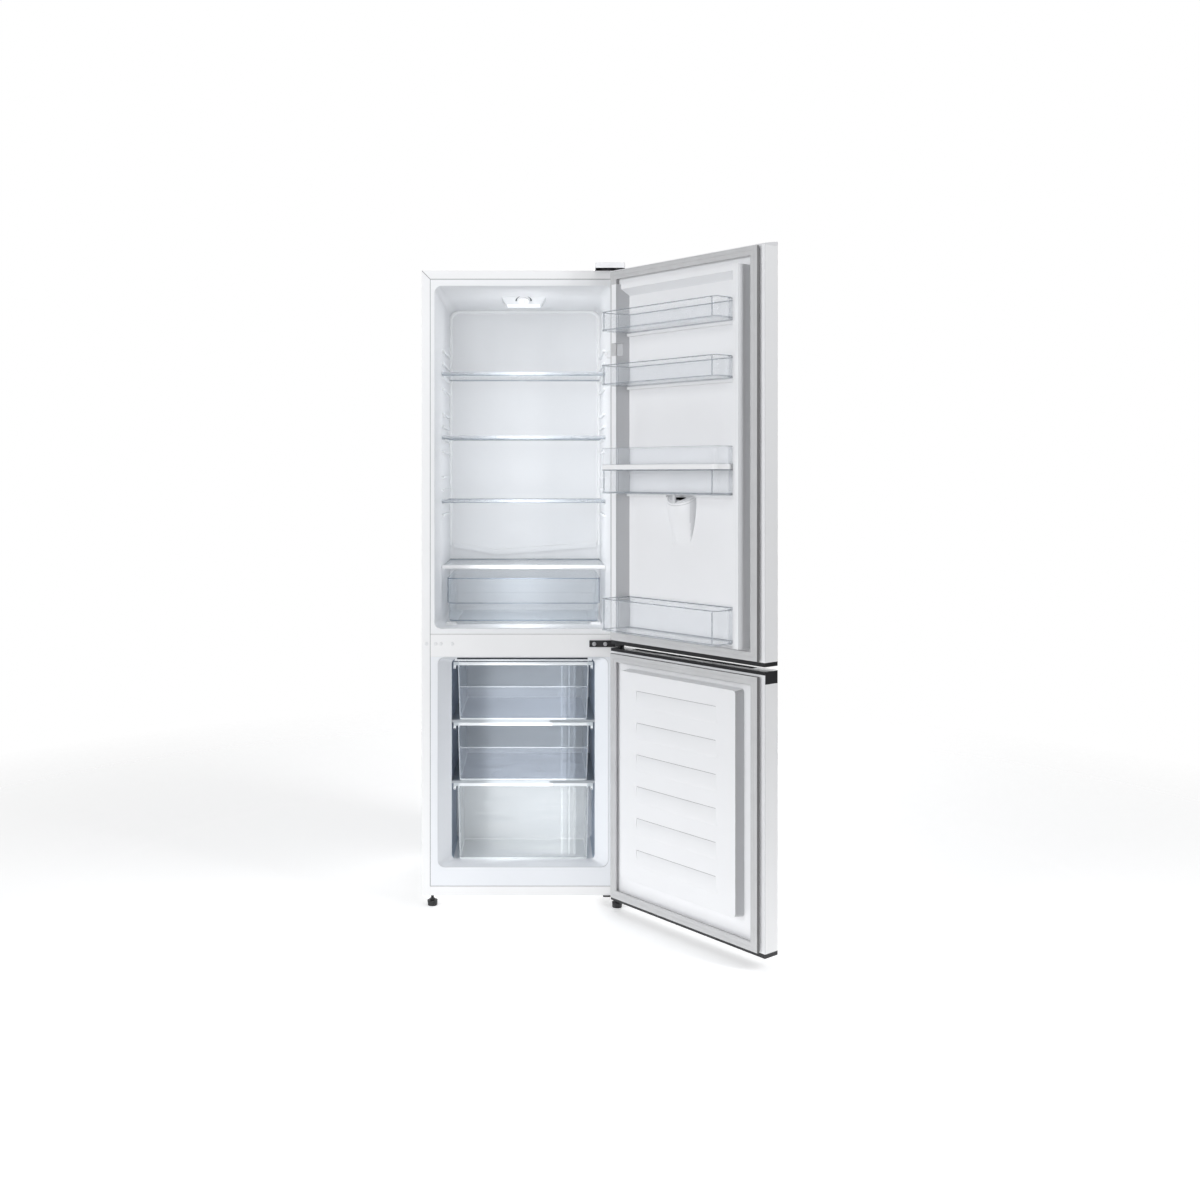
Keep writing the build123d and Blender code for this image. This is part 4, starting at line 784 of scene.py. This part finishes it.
def freezer_drawers():
    """Clear drawers with a white bar along the front, a step line and moulded flutes."""
    front, bar_front, tab_front, behind_front = (30, 46), (30, 41), (30, 44), (50, 52)
    step, bar_tall, flutes_at, flutes_in = 88, 8.2, (106, 126, 141), 44.5
    for level in ("upper", "middle", "lower"):
        node = f"freezer_drawer_{level}"
        low, high = (corner.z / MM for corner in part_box(node))
        bar = high - bar_tall
        body = DRAWER_PALE if level == "lower" else DRAWER
        refined(node, 0.8, body, DRAWER_EDGE_GLOW, segments=2, rim=3.5)
        # the front bar, its tabs and the edge lines glow faintly: painted light
        rows = [
            ("bar", WHOLE, bar_front, (bar, high + 1), DRAWER_BAR_GLOW),
            ("tab_left", (-195, -176), tab_front, (bar - 6, high + 1), DRAWER_BAR_GLOW),
            ("tab_right", (176, 195), tab_front, (bar - 6, high + 1), DRAWER_BAR_GLOW),
            ("foot_line", WHOLE, front, (low, low + 3.6), DRAWER_EDGE_GLOW),
            ("side_line", WHOLE, behind_front, (low + 3, bar), DRAWER_EDGE_GLOW),
        ]
        if level != "lower":
            rows += [
                ("step_line", WHOLE, front, (low + step + 0.5, low + step + 3), DRAWER_STEP),
                ("lower_panel", WHOLE, tab_front, (low + 4, low + step), DRAWER_LOW, FAINT),
            ]
        for name, *row in rows:
            slice_of(node, f"{node}_{name}", CABINET, *row)
        middle, tall = (low + bar) / 2 + 4, bar - low - 16
        flutes = [rounded_edges(rod("flute", (x, flutes_in, middle), 2.4, tall, sides=20), 0.8, 2)
                  for x in flutes_at]
        flutes = painted(smooth(joined(f"{node}_flutes", flutes)), body)
        placed(flutes, CABINET, node, "clear_plastic")


def control_pieces():
    """The thermostat's dial and the lamp's switch."""
    refined("thermostat_dial", 0.4, WHITE_TRIM)
    refined("switch_plunger", 0.4, WHITE_TRIM, segments=2)


# ---------------------------------------------------------------- doors


def door_pieces():
    """Skins, liners and caps of both doors, and what the upper one carries."""
    for door in ("upper_door", "lower_door"):
        refined(f"{door}_skin", 0.3, ENAMEL, segments=2)
        dress(f"{door}_insulation", FOAM)
    closed = DOOR.inverted()
    wall, notch_wall, notch = 160, 190, (1483, 1519)
    for door, width, finish in (
        ("upper_door", 3.2, DOOR_LINER), ("lower_door", 2.6, LOWER_LINER_SHADED),
    ):
        liner = refined(f"{door}_liner", width, finish, segments=4, angle=25)
        liner.data.materials.append(DOOR_SHADE)
        liner.data.materials.append(MID_GREY_HALF_SHADE)
        # side-wall faces turned towards the free edge, and the notch, take painted shade; the upper
        # door's free-edge flank a lighter painted half shade
        for face in liner.data.polygons:
            at = closed @ face.center / MM
            on_wall = face.normal.dot(AWAY) > 0.6 and abs(at.x) > wall
            in_notch = at.x > notch_wall and notch[0] < at.z < notch[1]
            if on_wall or in_notch:
                face.material_index = 2 if at.x < 0 and door == "upper_door" else 1
    refined("upper_door_top_cap", 1.0, CAP)
    refined("upper_door_bottom_cap", 1.0, BLACK)
    refined("lower_door_bottom_cap", 1.0, BLACK)
    refined("lower_door_handle_cap", 1.5, BLACK)
    for name in ("upper_balcony", "middle_balcony", "bottle_balcony", "water_tank", "tank_rack"):
        refined(name, 0.9, BALCONY, BALCONY_EDGE, segments=2, rim=3)
    refined("tank_lid", 1.0, WHITE_TRIM)
    to_edge, front, corner = (-204.6, 300), DOOR_INNER + 96, (191.5, 193.3)
    for name, low, high in (
        ("upper_balcony", 1543, 1594), ("middle_balcony", 1403, 1456),
        ("bottle_balcony", 768, 852), ("water_tank", 1123, 1185),
    ):
        slice_of(name, f"{name}_rim", DOOR, to_edge, ANY_DEPTH, (high - 2.2, high + 2),
                 BALCONY_EDGE)
        slice_of(name, f"{name}_foot", DOOR, to_edge, ANY_DEPTH, (low + 2.4, low + 4.4),
                 BALCONY_EDGE)
        for word, side in (("left", -1), ("right", 1)):
            slice_of(name, f"{name}_corner_{word}", DOOR, sorted(side * x for x in corner),
                     (front - 8, front + 4), (low + 5, high - 3), BALCONY_EDGE)
    refined("dispenser_valve", 0.6, MID_GREY_HALF_SHADE)
    refined("dispenser_lever", 0.8, DARK_PLASTIC)


def pocket_floors():
    """Floors of the lower door's pockets: sunk at the sharp upper edge, rising to a soft lip. A dark
    strip along each upper edge is painted shadow.
    """
    face, top, pitch, tall, count = DOOR_INNER + 28, 612, 82.3, 37, 6
    line_half, floor_half, sink = 139, 144.5, 3.6
    sharp, floors = [], []
    for n in range(count):
        level = top - n * pitch
        sharp.append(slab("sharp", (-line_half, line_half), (face - 1, face + 0.25),
                          (level - 0.5, level + 0.5)))
        floor = slab("floor", (-floor_half, floor_half), (face - 8.3, face + 0.9),
                     (level - tall - 4, level + 2))
        choose(floor, "verts", lambda vert: vert.co.y > face * MM and vert.co.z > (level - 5) * MM)
        bpy.ops.transform.translate(value=(0, -sink * MM, 0))
        floors.append(rounded_edges(done(floor), 0.8, 3))
    placed(painted(joined("pocket_upper_edges", sharp), POCKET_EDGE_SHADOW), DOOR, "lower_door",
           "liner_plastic")
    placed(painted(smooth(joined("pocket_floors", floors)), LOWER_LINER_SHADED), DOOR, "lower_door",
           "liner_plastic")


def freezer_mouth_lip():
    """The rounded lip around the freezer's mouth, in grey: painted shade of its rounded edge."""
    section = ((-0.5, 0.4), (-0.5, -0.15), (0.8, -0.15), (0.8, 0.4))
    half, foot, head, corner = 231.5, 106.6, 676.5, 20
    lip = loop_sweep("freezer_mouth_lip", (-half, half), (foot, head), corner, section, segments=8)
    placed(painted(smooth(lip), LIP_SHADE), CABINET, "cabinet", "liner_plastic")


def dial_marks():
    """Two rows of round marks that grow from small to large around the thermostat's dial."""
    joint = next(j for j in frame["joints"] if j["name"] == "thermostat_turn")
    turn = Vector(joint["axis"]).to_track_quat("Z", "Y").to_matrix().to_4x4()
    seat = CABINET.inverted() @ Matrix.Translation(Vector(joint["pos_m"])) @ turn
    ring, least, growth, first, pitch, count = 21, 0.8, 0.22, 35, 8, 8
    dots = []
    for side in (-1, 1):
        for step in range(count):
            dot = rod("dot", (0, ring, 0), least + growth * step, 1.6, sides=20)
            dot.data.transform(Matrix.Rotation(side * radians(first + pitch * step), 4, "Z"))
            dots.append(dot)
    marks = painted(joined("dial_marks", dots), INK)
    marks.data.transform(seat)
    placed(marks, CABINET, "cabinet", "white_plastic")


def dispenser():
    """The drinks dispenser: its recess in the door's face, and the smooth half cone behind."""
    plane, crown = DOOR_INNER, 1122.5
    recess = copy_of("dispenser_housing", "dispenser_recess")
    recess.data.transform(DOOR.inverted())
    choose(recess, "faces", lambda face: True)
    bpy.ops.mesh.bisect(plane_co=(0, (plane - 0.4) * MM, 0), plane_no=(0, 1, 0), clear_outer=True)
    rounded_edges(done(recess), 0.8, 2)

    # a flat patch of the liner, wide at its top, which closes the recess
    foot, head, half_width, taper = 994, 1124, 56, 0.66
    patch = slab("patch", (-half_width, half_width), (plane - 1.2, plane + 0.35), (foot, head))
    choose(patch, "verts", lambda vert: vert.co.z < (foot + head) / 2 * MM)
    bpy.ops.transform.resize(value=(taper, 1, 1), center_override=(0, 0, 0))
    rounded_edges(done(patch), 0.3, 2)

    # the half cone: rings of height, half width and depth, which lose their depth first
    at, wide, deep = crown, 46, 26
    nothing_selected()
    bpy.ops.mesh.primitive_circle_add(vertices=64, radius=1, location=(0, plane * MM, at * MM))
    bpy.context.object.scale = (wide * MM, deep * MM, 1)
    cone = start("cone")
    choose(cone, "verts", lambda vert: True)
    bpy.ops.mesh.edge_face_add()
    for height, half, reach in (
        (1112, 47.5, 27.5), (1100, 48, 28), (1086, 47.3, 27.2), (1070, 45.5, 25),
        (1052, 42.5, 21), (1034, 38, 15.5), (1018, 33, 9.5), (1006, 28.5, 4.2),
        (998, 25, 0.9), (995, 23, 0.36),
    ):
        bpy.ops.mesh.extrude_region_move(
            TRANSFORM_OT_translate={"value": (0, 0, (height - at) * MM)})
        bpy.ops.transform.resize(value=(half / wide, reach / deep, 1),
                                 center_override=(0, plane * MM, height * MM))
        at, wide, deep = height, half, reach
    choose(done(cone), "faces", lambda face: True)
    bpy.ops.mesh.bisect(plane_co=(0, (plane - 0.5) * MM, 0), plane_no=(0, -1, 0),
                        clear_outer=True, use_fill=True)
    outward(done(cone))
    for part in (recess, patch, cone):
        painted(part, DOOR_LINER, GREY_PLASTIC, MID_GREY_HALF_SHADE, DOOR_SHADE)
    light, port, mid, shade = range(4)
    closed = DOOR.to_3x3()
    # faces turned towards the door's free edge take painted half shade
    for face in cone.data.polygons:
        face.material_index = mid if (closed @ face.normal).dot(AWAY) > 0.64 else light

    # two lines of painted shadow around its mouth, which leans forward, and the cut that opens it
    mouth, lip = Vector((0, 0.55, 0.835)).normalized(), Vector((0, plane + 28, 1103))
    lines = ((1.2, 2.4), (6.4, 7.8))
    for below in (*lines[1][::-1], *lines[0][::-1], 0):
        choose(cone, "faces", lambda face: True)
        bpy.ops.mesh.bisect(plane_co=(lip - mouth * below) * MM, plane_no=mouth,
                            clear_outer=not below, use_fill=not below)
        done(cone)
    outward(cone)
    for face in cone.data.polygons:
        below = (lip - face.center / MM).dot(mouth)
        if any(near < below < far for near, far in lines):
            face.material_index = shade

    def in_mouth(face):
        """The large face that looks the mouth's own way, in object mode or in edit mode."""
        area = face.area if hasattr(face, "area") else face.calc_area()
        return face.normal.dot(mouth) > 0.999 and area > 200 * MM * MM

    # inside it a groove, a raised rim and a narrowing funnel down to the port; the groove and the
    # deep wall take painted shade, the funnel painted half shade
    for finish, inset, sink, narrow in ((shade, 1.6, 2.0, 1), (light, 3.0, -3.0, 1),
                                        (mid, 5.0, 2.5, 0.55), (shade, 1.5, 4.0, 1),
                                        (port, 0, 0, 1)):
        for face in cone.data.polygons:
            if in_mouth(face):
                face.material_index = finish
        if inset:
            choose(cone, "faces", in_mouth)
            bpy.ops.mesh.inset(thickness=inset * MM)
            bpy.ops.transform.translate(value=-mouth * sink * MM)
            bpy.ops.transform.resize(value=(narrow, 1, 1), center_override=(0, 0, 0))
            done(cone)
    housing = smooth(joined("dispenser_body", [recess, patch, cone]), 40)
    placed(housing, DOOR, "upper_door", "white_plastic", ["dispenser_housing"])


def door_seals():
    """Bellows seals: a clipped foot, a narrow waist and a head that holds the magnet.

    The faces of their outer flank take a dark finish, painted shade of the fold."""
    edge, flank = 12.0, 1.5
    section = (
        (3, -14), (3, -11.5), (1.2, -10), (0, -7.5), (0, -2.4), (0.7, -0.9), (2.2, -0.35),
        (10.4, -0.35), (11, -0.9), (11.6, -0.35), (19.8, -0.35), (21.3, -0.9), (22, -2.4),
        (22, -5.4), (20.2, -7.2), (16, -8.6), (16, -10.4), (19, -11.6), (19, -14),
    )
    for door, (low, high) in (("upper_door", UPPER_DOOR), ("lower_door", LOWER_DOOR)):
        seal = loop_sweep(f"{door}_seal", (-DOOR_HALF + edge, DOOR_HALF - edge),
                          (low + edge, high - edge), 0, section)
        painted(smooth(seal, 50), SEAL, SEAL_FLANK_SHADE)
        half, foot, head = (DOOR_HALF - edge) * MM, (low + edge) * MM, (high - edge) * MM
        # painted shade on the outer flank
        for face in seal.data.polygons:
            x, _, z = face.center
            outermost = min(half - abs(x), z - foot, head - z) < flank * MM
            if outermost and abs(face.normal.y) < 0.6:
                face.material_index = 1
        placed(seal, DOOR, door, "grey_seal", [f"{door}_gasket"])


def screw_head(radius=5.5, high=2.4):
    """A pan head with a cross recess, centred on its own middle."""
    head = rod("screw", (0, 0, 0), radius, high, sides=28)
    rounded_edges(head, 0.3 * high, 3)
    deep, long, wide = 0.08 * high, 0.55 * radius, 0.1 * radius
    slots = [slab("recess", (-x, x), (-y, y), (deep, high)) for x, y in ((long, wide), (wide, long))]
    for slot in slots:
        combined(head, slot, "DIFFERENCE")
    return head


def back_screws():
    """Pan head screws around the edge of the back sheet."""
    back = (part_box("cabinet_insulation")[1].y - shell_low.y) / MM + 1.6
    edge, head_row, foot_row, row = 262, 1712, 304, (-130, 0, 130)
    places = [(side * edge, z) for side in (-1, 1) for z in (330, 610, 890, 1170, 1450, 1700)]
    places += [(x, head_row) for x in row] + [(x, foot_row) for x in row]
    heads = []
    for n, (x, z) in enumerate(places):
        head = screw_head(4.2, 2.0)
        spin = Matrix.Rotation(radians(-90), 4, "X") @ Matrix.Rotation(radians(31 * n), 4, "Z")
        head.data.transform(Matrix.Translation(Vector((x, back, z)) * MM) @ spin)
        heads.append(head)
    placed(painted(smooth(joined("back_screws", heads), 40), SCREW), CABINET, "cabinet",
           "zinc_steel")


def screws_and_plugs():
    """The hinges' screws, and domed plugs in the holes of the other hinge."""
    level, proud, stand, column = 713, 4.2, 5.2, 215
    heads = []
    for n, (x, y, z, turn) in enumerate((
        (193, -proud, level, pi / 2), (223, -proud, level, pi / 2),
        (column, 28, TOP + stand, 0), (column, 50, TOP + stand, 0),
        (column, 28, BOTTOM - stand, pi), (column, 50, BOTTOM - stand, pi),
    )):
        head = screw_head()
        spin = Matrix.Rotation(turn, 4, "X") @ Matrix.Rotation(radians(20 + 37 * n), 4, "Z")
        head.data.transform(Matrix.Translation(Vector((x, y, z)) * MM) @ spin)
        heads.append(head)
    screws = painted(smooth(joined("hinge_screw_heads", heads), 40), SCREW)
    placed(screws, CABINET, "cabinet", "zinc_steel", ["hinge_screws"])

    domes = []
    for x in (-262.0, -237.6, -223.0, -192.5):
        nothing_selected()
        bpy.ops.mesh.primitive_uv_sphere_add(
            segments=24, ring_count=12, radius=5 * MM,
            location=Vector((x, 0, level)) * MM, scale=(1, 0.3, 1))
        dome = start("plug")
        choose(dome, "faces", lambda face: True)
        bpy.ops.mesh.bisect(plane_co=(0, -0.05 * MM, 0), plane_no=(0, 1, 0),
                            clear_outer=True, use_fill=True)
        domes.append(done(dome))
    plugs = painted(smooth(joined("hinge_hole_plugs", domes), 40), CAP)
    placed(plugs, CABINET, "cabinet", "white_plastic", ["hole_plugs"])


# ---------------------------------------------------------------- stage


def stage():
    """A pale floor that fades into a white surround, and soft studio light."""
    nothing_selected()
    reach = 3.2
    bpy.ops.mesh.primitive_circle_add(
        vertices=96, radius=reach, fill_type="NGON", location=(0, 0, -0.2 * MM))
    floor = start("studio_floor")
    pale = Finish("pale floor", (0.94, 0.94, 0.94), 0.7, Emission_Strength=0.38)
    pale.mottled(900, 0.004)
    distance = pale.node("ShaderNodeVectorMath", {"operation": "LENGTH"}, {0: pale.place}, 1)
    pale.set("Alpha", pale.ramp(distance * (1 / reach), (0.3, 1.0), (0.95, 0.0)))
    pale.set("Emission Color", (1, 1, 1, 1))
    painted(floor, pale.material)

    world = bpy.data.worlds.new("studio")
    bpy.context.scene.world = world
    world.use_nodes = True
    nodes, links = world.node_tree.nodes, world.node_tree.links
    # the camera sees a white surround, and the object is lit by a far weaker one
    surround, light = nodes["Background"], nodes.new("ShaderNodeBackground")
    for back, colour, strength in ((surround, (1, 1, 1, 1), 1.0),
                                   (light, (0.97, 0.985, 1, 1), 0.03)):
        back.inputs["Color"].default_value = colour
        back.inputs["Strength"].default_value = strength
    path = nodes.new("ShaderNodeLightPath")
    either = nodes.new("ShaderNodeMixShader")
    links.new(path.outputs["Is Camera Ray"], either.inputs[0])
    links.new(light.outputs[0], either.inputs[1])
    links.new(surround.outputs[0], either.inputs[2])
    links.new(either.outputs[0], nodes["World Output"].inputs[0])

    def softbox(name, place, aim, size, power):
        """A rectangular lamp at a place in metres, with a size in metres and a power in watts."""
        light = bpy.data.lights.new(name, "AREA")
        light.shape = "RECTANGLE"
        light.size, light.size_y = size
        light.energy = power
        light.color = (0.975, 0.985, 1.0)
        lamp = bpy.data.objects.new(name, light)
        bpy.context.scene.collection.objects.link(lamp)
        lamp.location = place
        lamp.rotation_euler = (Vector(aim) - Vector(place)).to_track_quat("-Z", "Y").to_euler()
        return lamp

    softbox("key_left", (-3.3, -2.6, 1.7), (0.1, 0, 0.95), (1.6, 2.2), 96)
    softbox("front_fill", (-0.6, -4.4, 1.3), (0.0, 0, 0.9), (1.6, 1.8), 24)
    softbox("overhead", (-0.2, -1.0, 3.5), (0, 0, 0), (2.4, 2.4), 27)
    softbox("back_fill", (0.6, 3.4, 1.8), (0, 0, 0.9), (2.2, 2.2), 60)
    softbox("edge_right", (3.0, -1.9, 2.5), (0.7, -0.45, 1.5), (0.9, 1.9), 66)
    # two faint ones inside the fridge's and the freezer's mouth, which the camera doesn't see
    for name, place, aim, size, power in (
        ("room_glow", (0, 0.012, 1.18), (0, 0.4, 1.18), (0.12, 0.80), 1.12),
        ("freezer_glow", (0.03, 0.03, 0.39), (0.0, 0.3, 0.39), (0.26, 0.52), 0.46),
    ):
        lamp = softbox(name, CABINET @ Vector(place), CABINET @ Vector(aim), size, power)
        lamp.visible_camera = False


def camera():
    """The photograph's view: level, a little right of the cabinet's middle, 3.5 m away."""
    lens = bpy.data.cameras.new("photo_view")
    lens.sensor_width = 36
    lens.lens = 38.673
    lens.shift_x = 0.05
    lens.shift_y = -0.105
    view = bpy.data.objects.new("photo_view", lens)
    bpy.context.scene.collection.objects.link(view)
    view.location = CABINET @ Vector((46 * MM, -3.5, 1.174))
    view.rotation_euler = (radians(90), 0, 0)
    bpy.context.scene.camera = view


camera()
stage()
cabinet_pieces()
face_seams()
back_wall_border()
machine_room_lining()
machine_room_pipes()
back_screws()
shelf_pieces()
freezer_drawers()
freezer_mouth_lip()
control_pieces()
dial_marks()
door_pieces()
pocket_floors()
dispenser()
door_seals()
screws_and_plugs()

bpy.context.scene.view_settings.view_transform = "Standard"
bpy.context.scene.cycles.transparent_max_bounces = 24
